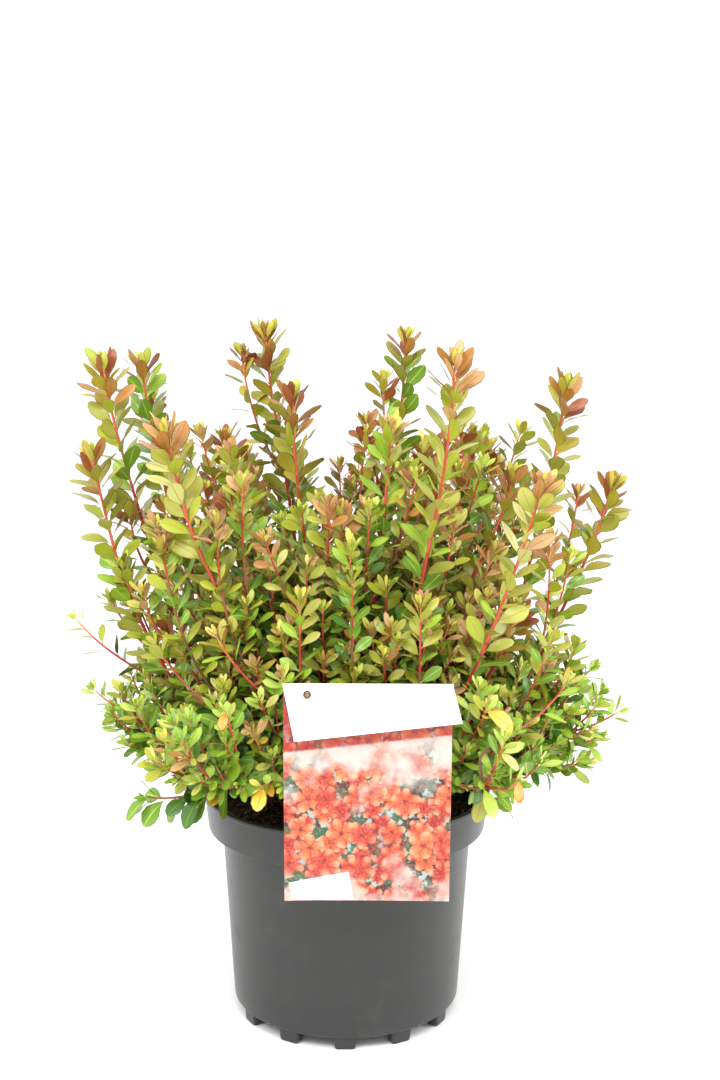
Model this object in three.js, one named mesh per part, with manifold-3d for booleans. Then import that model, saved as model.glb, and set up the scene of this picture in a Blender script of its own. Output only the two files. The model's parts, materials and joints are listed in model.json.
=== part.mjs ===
/**
 * An evergreen azalea shrub, grown as a garden-centre plant in its round nursery pot,
 * with a folded picture label hung on one of its twigs.
 *
 * Units are millimetres and +Z is up. The origin is on the ground, under the middle of the pot,
 * and -Y is the side that the label hangs on.
 *
 * The pot is one moulding on a ring of feet. The root ball fills it. A short stem stands on the
 * root ball and carries one bough to each mass of foliage in the dome. Long upright canes rise
 * out of the dome, and the top of each cane is wrapped in a plume of leaves. Every mass and
 * plume is cut round the limbs that enter it and round its neighbours.
 */
import * as THREE from "three";
import { mergeVertices } from "three/addons/utils/BufferGeometryUtils.js";
import Module from "manifold-3d";

const wasm = await Module();
wasm.setup();

// ---------------------------------------------------------------- driving dimensions

/** Clearance between solids that touch in the real plant. */
const GAP = 0.3;

const POT = {
  rimRadius: 101,
  rimHeight: 161,
  bandBottomRadius: 97.6,
  bandHeight: 26,
  bodyTopRadius: 88,
  bodyBottomRadius: 80.2,
  lipHeight: 3,
  lipOverhang: 0.8,
  rimWidth: 4,
  wall: 2,
  floorHeight: 9,
  segments: 36,
  feet: { count: 12, width: 15, depth: 8, outerRadius: 78 },
  drains: { count: 6, radius: 5, ringRadius: 48, sides: 8 },
};

/** The compost is flat where the stem stands, uneven beyond that, and a little lower at its edge. */
const COMPOST = {
  height: 150,
  moundRadius: 30,
  rings: [52, 76],
  ringDrop: 0.4,
  edgeDrop: 1.5,
  unevenness: 1.5,
  waveLengths: [9, 11, 6],
};

const STEM = {
  height: 30,
  footRadius: 15,
  flareHeight: 9,
  waistRadius: 9,
  forkRadius: 7.5,
  lean: 3,
  roots: 3,
  rootsStandOut: 0.25,
  sides: 10,
  segments: 8,
};

const LIMB = { sides: 6, segments: 4 };

/** A limb's flat sides lie inside its radius, so one that is grown for a clearance grows by more. */
const FLAT_SIDE_ALLOWANCE = 1.15;

/** A bough starts inside the stem, bends at shares of its way out and up, and ends in its mass. */
const BOUGH = {
  footRadius: 4.2,
  tipRadius: 2.6,
  startsAt: 0.6,
  bend: { out: 0.34, up: 0.36 },
  endsAt: { out: 0.8, below: 4 },
  entersBy: 12,
};

/** A cane bows outwards, and is bare for a share of its way from the dome to its tip. */
const CANE = {
  footRadius: 2.1,
  tipRadius: 1.4,
  entersBy: 11,
  sides: 5,
  segments: 3,
  bow: 0.22,
  bareShare: 0.24,
};

/** A plume's radius at shares of its length, as a share of its spread. */
const PLUME = {
  sides: 7,
  rings: 5,
  profile: [
    [0, 0.4],
    [0.2, 0.82],
    [0.5, 0.9],
    [0.83, 1],
    [1, 0.5],
  ],
};

/** How many steps a curve is searched in, for where it enters or leaves a mass. */
const SEARCH_STEPS = 200;

/**
 * The lower ring of foliage masses. degrees is where round the stem each mass lies, reach is how
 * far out its middle is, lift is what that adds to the ring's height, and half is the half size
 * of them all: outwards, sideways and upwards.
 */
const SKIRT = {
  degrees: [0, 60, 120, 180, 235, 305],
  reach: [113, 104, 102, 102, 106, 107],
  lift: [0, 5, -2, 3, 4, -3],
  height: 224,
  half: [72, 66, 47],
  boughFoot: 12,
};

/** The masses that close the top of the dome. */
const CROWN = {
  degrees: [45, 135, 225, 315],
  reach: [56, 56, 58, 54],
  lift: [3, -2, 4, 0],
  height: 288,
  half: [64, 62, 48],
  boughFoot: 23,
};

/** How finely the ball that a mass is shaped from is divided. */
const MASS_DETAIL = 2;

/** The waves that make a mass uneven: how high each is, how often it turns, and its seed's share. */
const MASS_WAVES = [
  { height: 0.08, turns: [3.3, 2.1, 0], seedShare: 1 },
  { height: 0.07, turns: [0, 4.4, -3.7], seedShare: 1.7 },
  { height: 0.05, turns: [5.1, 0, 6.2], seedShare: 2.9 },
];

/**
 * The long canes, named by where they stand. root is where a cane leaves the twigs inside the
 * dome, tip is the end of its topmost leaves, and spread is the radius of its plume.
 */
const CANES = {
  far_left: { root: [-112, 10, 256], tip: [-168, 4, 466], spread: 24 },
  left_pair: { root: [-98, 34, 262], tip: [-148, 52, 463], spread: 20 },
  low_left: { root: [-122, -30, 250], tip: [-179, -20, 404], spread: 20 },
  front_left: { root: [-56, -76, 260], tip: [-114, -90, 424], spread: 22 },
  tall_left: { root: [-28, 36, 285], tip: [-58, 34, 485], spread: 21 },
  inner_left: { root: [-24, -14, 285], tip: [-38, 2, 441], spread: 17 },
  mid_left: { root: [-62, 40, 284], tip: [-90, 44, 407], spread: 18 },
  tall_right: { root: [16, 28, 288], tip: [41, 32, 481], spread: 19 },
  front_right: { root: [42, -66, 280], tip: [68, -90, 471], spread: 20 },
  inner_front: { root: [14, -44, 286], tip: [30, -58, 424], spread: 18 },
  mid_right: { root: [66, 56, 284], tip: [92, 72, 402], spread: 20 },
  slanting_right: { root: [66, -24, 282], tip: [114, -22, 390], spread: 18 },
  low_front: { root: [78, -80, 256], tip: [122, -100, 395], spread: 20 },
  outer_right: { root: [116, 32, 256], tip: [154, 42, 451], spread: 20 },
  far_right: { root: [132, -6, 252], tip: [182, 2, 382], spread: 18 },
  back_left: { root: [-54, 84, 262], tip: [-84, 128, 386], spread: 21 },
  back_right: { root: [44, 88, 266], tip: [62, 136, 392], spread: 22 },
};

/** A sheet folded over at the top, with the fold's flap hanging in front of the picture side. */
const LABEL = {
  width: 105,
  height: 146,
  thickness: 0.8,
  top: 270,
  front: -130,
  leanDegrees: 4,
  centre: 14,
  fold: { radius: 0.96, sides: 8 },
  flap: { dropLeft: 36, dropRight: 24, insetLeft: 7, overhangRight: 6, opensDegrees: 7 },
  hole: { radius: 2.5, fromLeft: 15, fromTop: 6.5, sides: 12 },
  hollow: { radius: 150, back: -105, height: 240, sides: 32 },
};

/** The twig that the label hangs on. */
const LABEL_TWIG = { radius: 1.6, reach: 34, ahead: 9, sides: 8, segments: 4 };

const COLOURS = {
  pot: 0x4a4a49,
  compost: 0x2b1d14,
  stem: 0x6b4a33,
  bough: 0x86492f,
  cane: 0xb8402f,
  foliage: 0x7d9a2b,
  plume: 0xa3913c,
  label: 0xf2e6e0,
};

// ---------------------------------------------------------------- solids and meshes

/** A closed three.js geometry as a solid, with its shared vertices merged. */
function solidOf(geometry) {
  const bare = new THREE.BufferGeometry().setAttribute("position", geometry.getAttribute("position"));
  bare.setIndex(geometry.index);
  const merged = mergeVertices(bare, 1e-3);
  const corners = [];
  for (let i = 0; i < merged.index.count; i += 3) {
    const [a, b, c] = [0, 1, 2].map((k) => merged.index.getX(i + k));
    if (a !== b && b !== c && c !== a) corners.push(a, b, c);
  }
  return new wasm.Manifold(
    new wasm.Mesh({
      numProp: 3,
      vertProperties: merged.attributes.position.array,
      triVerts: new Uint32Array(corners),
    }),
  );
}

/** The biggest body of a solid, which drops the crumbs that a cut leaves. */
function mainBody(solid) {
  return solid.decompose().reduce((best, body) => (body.volume() > best.volume() ? body : best));
}

/** A solid less every one of the cutters. */
function cutBy(solid, cutters) {
  return cutters.reduce((left, cutter) => left.subtract(cutter), solid);
}

/** A named mesh of a solid in a plain colour. */
function meshOf(name, solid, colour, roughness = 0.8) {
  const { vertProperties, triVerts, numProp, numVert } = solid.getMesh();
  const positions = new Float32Array(numVert * 3);
  for (let i = 0; i < numVert; i++)
    positions.set(vertProperties.subarray(i * numProp, i * numProp + 3), i * 3);
  const geometry = new THREE.BufferGeometry()
    .setAttribute("position", new THREE.BufferAttribute(positions, 3))
    .setIndex(new THREE.BufferAttribute(triVerts, 1));
  geometry.computeVertexNormals();
  const material = new THREE.MeshStandardMaterial({ color: colour, roughness, metalness: 0 });
  const mesh = new THREE.Mesh(geometry, material);
  mesh.name = name;
  return mesh;
}

/** A solid turned about the Z axis, from [radius, height] points that start and end on the axis. */
function turned(profile, segments) {
  const points = profile.map(([radius, height]) => new THREE.Vector2(radius, height));
  return new THREE.LatheGeometry(points, segments).rotateX(Math.PI / 2);
}

/** A box with its middle at a point, as a solid. */
function boxSolid(size, middle) {
  return solidOf(new THREE.BoxGeometry(...size).translate(...middle));
}

/** A point at a radius and an azimuth from the pot's axis. */
function around(radius, azimuth, height) {
  return new THREE.Vector3(radius * Math.cos(azimuth), radius * Math.sin(azimuth), height);
}

// ---------------------------------------------------------------- pot and root ball

/** Radius of the pot's outer wall at the foot of the rim band, and up the band. */
function bandRadius(height) {
  const bottom = POT.rimHeight - POT.bandHeight;
  return THREE.MathUtils.mapLinear(height, bottom, POT.rimHeight, POT.bandBottomRadius, POT.rimRadius);
}

/** The pot's shell, its ring of feet and its drain holes. */
function potSolid() {
  const { wall, floorHeight, rimHeight, lipHeight, feet, drains } = POT;
  const step = rimHeight - POT.bandHeight;
  const shell = solidOf(
    turned(
      [
        [0, floorHeight],
        [POT.bodyBottomRadius, floorHeight],
        [POT.bodyTopRadius, step],
        [POT.bandBottomRadius, step],
        [bandRadius(rimHeight - lipHeight) - POT.lipOverhang, rimHeight - lipHeight],
        [POT.rimRadius, rimHeight - lipHeight],
        [POT.rimRadius, rimHeight],
        [POT.rimRadius - POT.rimWidth, rimHeight],
        [POT.bandBottomRadius - wall, step + wall],
        [POT.bodyTopRadius - wall, step + wall],
        [POT.bodyBottomRadius - wall, floorHeight + wall],
        [0, floorHeight + wall],
      ],
      POT.segments,
    ),
  );
  const midFloor = floorHeight + wall / 2;
  const foot = (azimuth) =>
    solidOf(
      new THREE.BoxGeometry(feet.depth, feet.width, midFloor)
        .translate(feet.outerRadius - feet.depth / 2, 0, midFloor / 2)
        .rotateZ(azimuth),
    );
  const drain = (azimuth) =>
    solidOf(
      new THREE.CylinderGeometry(drains.radius, drains.radius, 4 * wall, drains.sides)
        .rotateX(Math.PI / 2)
        .translate(...around(drains.ringRadius, azimuth, midFloor)),
    );
  let pot = shell;
  for (let i = 0; i < feet.count; i++) pot = pot.add(foot(-Math.PI / 2 + (i * 2 * Math.PI) / feet.count));
  for (let i = 0; i < drains.count; i++) pot = pot.subtract(drain((i * 2 * Math.PI) / drains.count));
  return pot;
}

/** The root ball: compost that fills the pot to just under the rim, flat where the stem stands. */
function rootBallSolid() {
  const { wall, floorHeight } = POT;
  const step = POT.rimHeight - POT.bandHeight + wall;
  const innerTop = THREE.MathUtils.mapLinear(
    COMPOST.height,
    step,
    POT.rimHeight,
    POT.bandBottomRadius - wall,
    POT.rimRadius - POT.rimWidth,
  );
  const rings = COMPOST.rings.map((radius, i) => [radius, COMPOST.height - i * COMPOST.ringDrop]);
  const geometry = turned(
    [
      [0, floorHeight + wall + GAP],
      [POT.bodyBottomRadius - wall - GAP, floorHeight + wall + GAP],
      [POT.bodyTopRadius - wall - GAP, step + GAP],
      [POT.bandBottomRadius - wall - GAP, step + GAP],
      [innerTop - 2 * GAP, COMPOST.height - COMPOST.edgeDrop],
      ...rings.reverse(),
      [COMPOST.moundRadius, COMPOST.height],
      [0, COMPOST.height],
    ],
    POT.segments,
  );
  const [alongX, alongY, across] = COMPOST.waveLengths;
  const position = geometry.getAttribute("position");
  for (let i = 0; i < position.count; i++) {
    const [x, y, z] = [position.getX(i), position.getY(i), position.getZ(i)];
    const isHigh = z > COMPOST.height - COMPOST.edgeDrop / 2;
    const wave = Math.sin(x / alongX + 1) * Math.cos(y / alongY) + 0.6 * Math.sin((x - y) / across);
    if (isHigh && Math.hypot(x, y) > COMPOST.moundRadius + 1)
      position.setZ(i, z + COMPOST.unevenness * wave);
  }
  return solidOf(geometry);
}

// ---------------------------------------------------------------- limbs

/**
 * A closed tube along part of a curve. radiusAt gives the radius at each share of that part,
 * and the angle round it.
 */
function tubeAlong(curve, { from = 0, to = 1, sides, segments, radiusAt }) {
  const geometry = new THREE.CylinderGeometry(1, 1, 1, sides, segments);
  const position = geometry.getAttribute("position");
  const runsAlongY = Math.abs(curve.getTangent(0.5).y) > 0.99;
  const reference = runsAlongY ? new THREE.Vector3(1, 0, 0) : new THREE.Vector3(0, 1, 0);
  for (let i = 0; i < position.count; i++) {
    const share = position.getY(i) + 0.5;
    const t = THREE.MathUtils.lerp(from, to, share);
    const ahead = curve.getTangent(t);
    const across = new THREE.Vector3().crossVectors(reference, ahead).normalize();
    const beside = new THREE.Vector3().crossVectors(across, ahead);
    const [x, z] = [position.getX(i), position.getZ(i)];
    const radius = radiusAt(share, Math.atan2(z, x));
    const place = curve.getPoint(t).addScaledVector(across, x * radius).addScaledVector(beside, z * radius);
    position.setXYZ(i, place.x, place.y, place.z);
  }
  return solidOf(geometry);
}

/** A limb that tapers evenly from its foot to its tip, made larger by grow all round. */
function limbSolid(limb, grow = 0) {
  const { curve, from = 0, to = 1, footRadius, tipRadius } = limb;
  const growShare = grow / curve.getLength();
  const growRadius = grow * FLAT_SIDE_ALLOWANCE;
  return tubeAlong(curve, {
    from: Math.max(0, from - growShare),
    to: Math.min(1, to + 2 * growShare),
    sides: limb.sides ?? LIMB.sides,
    segments: limb.segments ?? LIMB.segments,
    radiusAt: (share) => THREE.MathUtils.lerp(footRadius, tipRadius, share) + growRadius,
  });
}

/** The short main stem, flared where it meets the compost. */
function stemSolid(grow = 0) {
  const foot = new THREE.Vector3(0, 0, COMPOST.height + GAP);
  const upright = new THREE.Vector3(0, 0, COMPOST.height + STEM.height / 2);
  const fork = new THREE.Vector3(STEM.lean, 0, COMPOST.height + STEM.height);
  const flare = STEM.flareHeight / STEM.height;
  return tubeAlong(new THREE.QuadraticBezierCurve3(foot, upright, fork), {
    sides: STEM.sides,
    segments: STEM.segments,
    radiusAt: (share, angle) => {
      const above = THREE.MathUtils.lerp(STEM.waistRadius, STEM.forkRadius, share);
      const spread = Math.max(0, 1 - share / flare) ** 2 * (STEM.footRadius - STEM.waistRadius);
      return above + spread * (1 + STEM.rootsStandOut * Math.sin(STEM.roots * angle)) + grow;
    },
  });
}

// ---------------------------------------------------------------- masses of foliage

/** How far an uneven mass reaches along a unit direction, as a share of its half size. */
function unevenness(direction, seed) {
  const wave = ({ height, turns, seedShare }) =>
    height * Math.sin(direction.dot(new THREE.Vector3(...turns)) + seedShare * seed);
  return MASS_WAVES.reduce((reach, each) => reach + wave(each), 1);
}

/** The ring of masses that a specification such as SKIRT describes. */
function ringOfMasses(ring, name, firstSeed) {
  return ring.degrees.map((degrees, i) => {
    const azimuth = THREE.MathUtils.degToRad(degrees);
    return {
      name: `${name}_foliage_${i + 1}`,
      boughName: `${name}_bough_${i + 1}`,
      azimuth,
      seed: firstSeed + i,
      half: new THREE.Vector3(...ring.half),
      centre: around(ring.reach[i], azimuth, ring.height + ring.lift[i]),
      boughFoot: ring.boughFoot,
    };
  });
}

/** An uneven mass as a solid, made larger by grow all round. */
function massSolid(mass, grow = 0) {
  const geometry = new THREE.IcosahedronGeometry(1, MASS_DETAIL);
  const position = geometry.getAttribute("position");
  const direction = new THREE.Vector3();
  for (let i = 0; i < position.count; i++) {
    direction.fromBufferAttribute(position, i);
    const reach = unevenness(direction, mass.seed);
    const place = direction.clone().multiply(mass.half).multiplyScalar(reach);
    place.addScaledVector(direction, grow);
    position.setXYZ(i, place.x, place.y, place.z);
  }
  geometry.rotateZ(mass.azimuth).translate(...mass.centre);
  return solidOf(geometry.setIndex([...Array(position.count).keys()]));
}

/** Whether a point lies in a mass. */
function isInside(mass, point) {
  const local = point.clone().sub(mass.centre).applyAxisAngle(new THREE.Vector3(0, 0, 1), -mass.azimuth);
  const scaled = local.divide(mass.half);
  return scaled.length() < unevenness(scaled.clone().normalize(), mass.seed);
}

/** The shares of a curve that it is searched at. */
const searchShares = Array.from({ length: SEARCH_STEPS + 1 }, (_, i) => i / SEARCH_STEPS);

/** The bough that carries a mass, ended just inside it. */
function boughTo(mass) {
  const { azimuth, centre, boughFoot } = mass;
  const { bend, endsAt } = BOUGH;
  const reach = Math.hypot(centre.x, centre.y);
  const foot = around(STEM.forkRadius * BOUGH.startsAt, azimuth, COMPOST.height + boughFoot);
  const end = around(reach * endsAt.out, azimuth, centre.z - endsAt.below);
  const middle = around(reach * bend.out, azimuth, THREE.MathUtils.lerp(foot.z, end.z, bend.up));
  const curve = new THREE.QuadraticBezierCurve3(foot, middle, end);
  const entry = searchShares.find((t) => isInside(mass, curve.getPoint(t))) ?? 1;
  return {
    name: mass.boughName,
    curve,
    to: Math.min(1, entry + BOUGH.entersBy / curve.getLength()),
    footRadius: BOUGH.footRadius,
    tipRadius: BOUGH.tipRadius,
  };
}

/** A cane's curve, and the shares of it at which the bare limb starts and ends. */
function caneFrom([name, { root, tip, spread }], masses) {
  const foot = new THREE.Vector3(...root);
  const top = new THREE.Vector3(...tip);
  const outwards = new THREE.Vector3(top.x - foot.x, top.y - foot.y, 0).multiplyScalar(CANE.bow);
  const bend = foot.clone().lerp(top, 0.5).add(outwards);
  const curve = new THREE.QuadraticBezierCurve3(foot, bend, top);
  const length = curve.getLength();
  const isInDome = (t) => masses.some((mass) => isInside(mass, curve.getPoint(t)));
  const leavesDome = searchShares.findLast(isInDome) ?? 0;
  const plumeFrom = THREE.MathUtils.lerp(leavesDome, 1, CANE.bareShare);
  return {
    name: `${name}_cane`,
    plumeName: `${name}_plume`,
    curve,
    from: Math.max(0, leavesDome - CANE.entersBy / length),
    to: plumeFrom + CANE.entersBy / length,
    footRadius: CANE.footRadius,
    tipRadius: CANE.tipRadius,
    sides: CANE.sides,
    segments: CANE.segments,
    plumeFrom,
    spread,
  };
}

/** The plume of leaves round the top of a cane: narrow below, widest near the top. */
function plumeSolid(cane, seed, grow = 0) {
  const profile = new THREE.SplineCurve(PLUME.profile.map((point) => new THREE.Vector2(...point)));
  const length = cane.curve.getLength();
  return tubeAlong(cane.curve, {
    from: cane.plumeFrom - grow / length,
    to: Math.min(1, 1 + grow / length),
    sides: PLUME.sides,
    segments: PLUME.rings,
    radiusAt: (share, angle) =>
      cane.spread *
        profile.getPoint(share).y *
        (1 + 0.1 * Math.sin(2 * angle + seed) + 0.07 * Math.sin(9 * share + 3 * angle + 2 * seed)) +
      grow,
  });
}

// ---------------------------------------------------------------- label

/** The folded sheet with its punched hole, in the XZ plane, with its fold along X at the origin. */
function labelSolid() {
  const { width, height, thickness, fold, flap, hole } = LABEL;
  const sheet = boxSolid([width, thickness, height], [0, 0, -height / 2]);
  const roll = solidOf(
    new THREE.CylinderGeometry(fold.radius, fold.radius, width, fold.sides)
      .rotateZ(Math.PI / 2)
      .translate(0, -thickness, 0),
  );
  const outline = new THREE.Shape([
    new THREE.Vector2(-width / 2, 0),
    new THREE.Vector2(-width / 2 + flap.insetLeft, -flap.dropLeft),
    new THREE.Vector2(width / 2 + flap.overhangRight, -flap.dropRight),
    new THREE.Vector2(width / 2, 0),
  ]);
  const front = solidOf(
    new THREE.ExtrudeGeometry(outline, { depth: thickness, bevelEnabled: false })
      .rotateX(Math.PI / 2)
      .translate(0, -thickness, 0)
      .rotateX(THREE.MathUtils.degToRad(-flap.opensDegrees)),
  );
  const punch = solidOf(
    new THREE.CylinderGeometry(hole.radius, hole.radius, 10 * thickness, hole.sides).translate(
      hole.fromLeft - width / 2,
      -thickness,
      -hole.fromTop,
    ),
  );
  return sheet.add(roll).add(front).subtract(punch);
}

/** The label's own frame: where its fold hangs and how it leans. */
function labelGroup() {
  const group = new THREE.Group();
  group.position.set(LABEL.centre, LABEL.front, LABEL.top);
  group.rotation.x = THREE.MathUtils.degToRad(LABEL.leanDegrees);
  group.updateMatrixWorld();
  return group;
}

/** The twig through the label's hole, which the top of the hole rests on. */
function labelTwig(group) {
  const { radius, fromLeft, fromTop } = LABEL.hole;
  const inLabel = new THREE.Vector3(fromLeft - LABEL.width / 2, -LABEL.thickness, -fromTop);
  const hole = group.localToWorld(inLabel);
  const height = hole.z + radius - GAP - LABEL_TWIG.radius;
  const end = new THREE.Vector3(hole.x, hole.y - LABEL_TWIG.ahead, height);
  const start = new THREE.Vector3(hole.x, hole.y + LABEL_TWIG.reach, height);
  return {
    name: "label_twig",
    curve: new THREE.LineCurve3(start, end),
    footRadius: LABEL_TWIG.radius,
    tipRadius: LABEL_TWIG.radius,
    sides: LABEL_TWIG.sides,
    segments: LABEL_TWIG.segments,
  };
}

// ---------------------------------------------------------------- assembly

const masses = [...ringOfMasses(SKIRT, "skirt", 1), ...ringOfMasses(CROWN, "crown", 11)];
const canes = Object.entries(CANES).map((entry) => caneFrom(entry, masses));
const hangingLabel = labelGroup();
const twig = labelTwig(hangingLabel);

/** A wide hollow in the front of the dome, which the label hangs in. */
function labelRoomSolid() {
  const { radius, back, height, sides } = LABEL.hollow;
  return solidOf(
    new THREE.CylinderGeometry(radius, radius, height, sides)
      .rotateX(Math.PI / 2)
      .translate(LABEL.centre, back - radius, LABEL.top - LABEL.height / 2),
  );
}

const labelRoom = labelRoomSolid();

const stem = stemSolid();
const boughs = masses.map(boughTo);
const boughSolids = [];
for (const bough of boughs) {
  const earlier = boughSolids.map(({ limb }) => limbSolid(limb, GAP));
  boughSolids.push({ limb: bough, solid: mainBody(cutBy(limbSolid(bough), [stemSolid(GAP), ...earlier])) });
}

const grownLimbs = [...boughs, ...canes, twig].map((limb) => limbSolid(limb, GAP));
const massSolids = [];
masses.forEach((mass, i) => {
  const earlier = masses.slice(0, i).map((other) => massSolid(other, 2 * GAP));
  const solid = cutBy(massSolid(mass), [labelRoom, ...grownLimbs, ...earlier]);
  massSolids.push({ mass, solid: mainBody(solid) });
});

const grownMasses = masses.map((mass) => massSolid(mass, 2 * GAP));
const plumeSolids = [];
canes.forEach((cane, i) => {
  const earlier = canes.slice(0, i).map((other, k) => plumeSolid(other, k, 2 * GAP));
  const solid = cutBy(plumeSolid(cane, i), [...grownLimbs, ...grownMasses, ...earlier]);
  plumeSolids.push({ cane, solid: mainBody(solid) });
});

const pottedShrub = new THREE.Group();
const pot = new THREE.Group();
const plant = new THREE.Group();
pot.add(meshOf("pot", potSolid(), COLOURS.pot, 0.45));
pot.add(meshOf("root_ball", rootBallSolid(), COLOURS.compost, 0.95));
plant.add(meshOf("stem", stem, COLOURS.stem));
for (const { limb, solid } of boughSolids) plant.add(meshOf(limb.name, solid, COLOURS.bough));
for (const { mass, solid } of massSolids) plant.add(meshOf(mass.name, solid, COLOURS.foliage));
for (const cane of canes) plant.add(meshOf(cane.name, limbSolid(cane), COLOURS.cane, 0.6));
for (const { cane, solid } of plumeSolids) plant.add(meshOf(cane.plumeName, solid, COLOURS.plume));
plant.add(meshOf(twig.name, limbSolid(twig), COLOURS.bough));
hangingLabel.add(meshOf("label", labelSolid(), COLOURS.label, 0.35));
pottedShrub.add(pot, plant, hangingLabel);

export default pottedShrub;
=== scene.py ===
"""A potted azalea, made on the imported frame.

The canes and the masses of foliage in the frame say where the plant is. The shoots, twigs and
leaves that stand for them are grown here by a seeded rule, outwards from the boughs. The pot, the
compost and the label are made again in finer detail, on the places of their solids.

All sizes are in metres, and angles are in degrees unless a name says otherwise.
"""

import json
import logging
import math
from collections.abc import Sequence
from dataclasses import dataclass, field
from enum import Enum
from itertools import combinations

import bpy
import numpy as np
from mathutils import Matrix, Vector, noise
from mathutils.bvhtree import BVHTree

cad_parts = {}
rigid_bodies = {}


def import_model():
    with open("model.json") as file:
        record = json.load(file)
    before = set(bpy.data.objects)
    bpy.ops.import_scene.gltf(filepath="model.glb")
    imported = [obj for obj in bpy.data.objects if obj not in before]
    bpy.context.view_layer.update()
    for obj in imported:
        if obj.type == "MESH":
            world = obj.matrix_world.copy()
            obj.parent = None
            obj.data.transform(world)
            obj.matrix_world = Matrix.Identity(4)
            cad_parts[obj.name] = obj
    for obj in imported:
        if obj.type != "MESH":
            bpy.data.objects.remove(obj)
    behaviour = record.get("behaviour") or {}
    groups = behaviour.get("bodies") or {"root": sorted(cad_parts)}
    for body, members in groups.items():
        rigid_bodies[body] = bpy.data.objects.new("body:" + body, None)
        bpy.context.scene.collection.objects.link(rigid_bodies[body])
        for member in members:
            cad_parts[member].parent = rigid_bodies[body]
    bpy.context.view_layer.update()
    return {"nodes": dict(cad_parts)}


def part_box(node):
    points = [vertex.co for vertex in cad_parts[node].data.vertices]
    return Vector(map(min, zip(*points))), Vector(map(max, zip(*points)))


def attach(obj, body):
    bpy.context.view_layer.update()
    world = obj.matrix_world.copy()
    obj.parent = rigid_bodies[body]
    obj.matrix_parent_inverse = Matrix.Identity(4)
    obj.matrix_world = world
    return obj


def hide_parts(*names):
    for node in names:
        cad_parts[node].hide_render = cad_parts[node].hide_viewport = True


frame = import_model()

LOG = logging.getLogger("azalea")
SEED = 11
MM = 0.001
UP = np.array([0.0, 0.0, 1.0])
LEVEL = np.array([1.0, 1.0, 0.0])
GOLDEN_ANGLE = math.radians(137.5)

Colour = tuple[int, int, int]
Pair = tuple[float, float]
Triple = tuple[float, float, float]
Points = np.ndarray
Chance = np.random.Generator
Material = bpy.types.Material
Socket = bpy.types.NodeSocket


# ---- vectors and lines


def unit(vectors: Points) -> Points:
    """Vectors at unit length."""
    return vectors / np.maximum(np.linalg.norm(vectors, axis=-1, keepdims=True), 1e-12)


def across(vectors: Points, axes: Points) -> Points:
    """The part of each vector that lies across its axis, at unit length."""
    return unit(vectors - (vectors * axes).sum(-1, keepdims=True) * axes)


def hermite(start: Points, start_pull: Points, end: Points, end_pull: Points, count: int) -> Points:
    """A smooth line between two points.

    Args:
        start: Where the line starts.
        start_pull: The way that it leaves, as long as the pull is strong.
        end: Where the line ends.
        end_pull: The way that it arrives.
        count: How many points it has.

    Returns:
        The points of the line, its ends among them.
    """
    t = np.linspace(0, 1, count)[:, None]
    return (
        (2 * t**3 - 3 * t**2 + 1) * start
        + (t**3 - 2 * t**2 + t) * start_pull
        + (3 * t**2 - 2 * t**3) * end
        + (t**3 - t**2) * end_pull
    )


def lengths_along(line: Points) -> Points:
    """The length of a line up to each of its points."""
    steps = np.linalg.norm(np.diff(line, axis=0), axis=1)
    return np.concatenate([[0.0], np.cumsum(steps)])


def points_at(line: Points, lengths: Points) -> tuple[Points, Points]:
    """Places along a line.

    Args:
        line: The line's points.
        lengths: How far along it each place is.

    Returns:
        The places, and the line's direction at each of them.
    """
    along = lengths_along(line)
    headings = unit(np.gradient(line, along, axis=0))
    place = np.stack([np.interp(lengths, along, line[:, k]) for k in range(3)], axis=-1)
    heading = np.stack([np.interp(lengths, along, headings[:, k]) for k in range(3)], axis=-1)
    return place, unit(heading)


def circle(sides: int) -> Points:
    """The corners of an even polygon round the origin, each an x and a y."""
    turn = np.linspace(0, 2 * math.pi, sides, endpoint=False)
    return np.stack([np.cos(turn), np.sin(turn)], -1)


def tube(line: Points, radii: Points, sides: int) -> tuple[Points, Points]:
    """A tube round a line.

    Args:
        line: The tube's middle.
        radii: Its radius at each point, or at each point and each side.
        sides: How many sides it has.

    Returns:
        Its vertices and its four-sided faces, ring by ring.
    """
    headings = unit(np.gradient(line, axis=0))
    reference = np.eye(3)[np.argmin(np.abs(headings[0]))]
    side = across(reference, headings[0])
    sideways = []
    for heading in headings:
        side = across(side, heading)
        sideways.append(side)
    sideways = np.array(sideways)
    forwards = np.cross(headings, sideways)
    turn = circle(sides)[None]
    spokes = turn[..., :1] * sideways[:, None] + turn[..., 1:] * forwards[:, None]
    rings = np.asarray(radii, float)
    rings = rings[:, None] if rings.ndim == 1 else rings
    vertices = line[:, None] + rings[:, :, None] * spokes
    return vertices.reshape(-1, 3), ring_faces(len(line), sides)


def ring_faces(rings: int, sides: int) -> Points:
    """The four-sided faces between rings of vertices that close on themselves."""
    low = np.arange(rings - 1)[:, None] * sides
    here = np.arange(sides)[None]
    after = (here + 1) % sides
    return np.stack([low + here, low + after, low + sides + after, low + sides + here], -1).reshape(-1, 4)


def grid_faces(rows: int, columns: int) -> Points:
    """The four-sided faces of an open grid of vertices, row by row."""
    low = np.arange(rows - 1)[:, None] * columns
    here = np.arange(columns - 1)[None]
    corners = [low + here, low + here + 1, low + columns + here + 1, low + columns + here]
    return np.stack(corners, -1).reshape(-1, 4)


def bar(start: Points, end: Points, radius: float, sides: int) -> tuple[Points, Points]:
    """A round bar between two points, drawn in to almost nothing at both ends."""
    nib = 1e-5
    step = unit(end - start) * nib
    return tube(np.array([start, start + step, end - step, end]), np.array([nib, radius, radius, nib]), sides)


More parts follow.
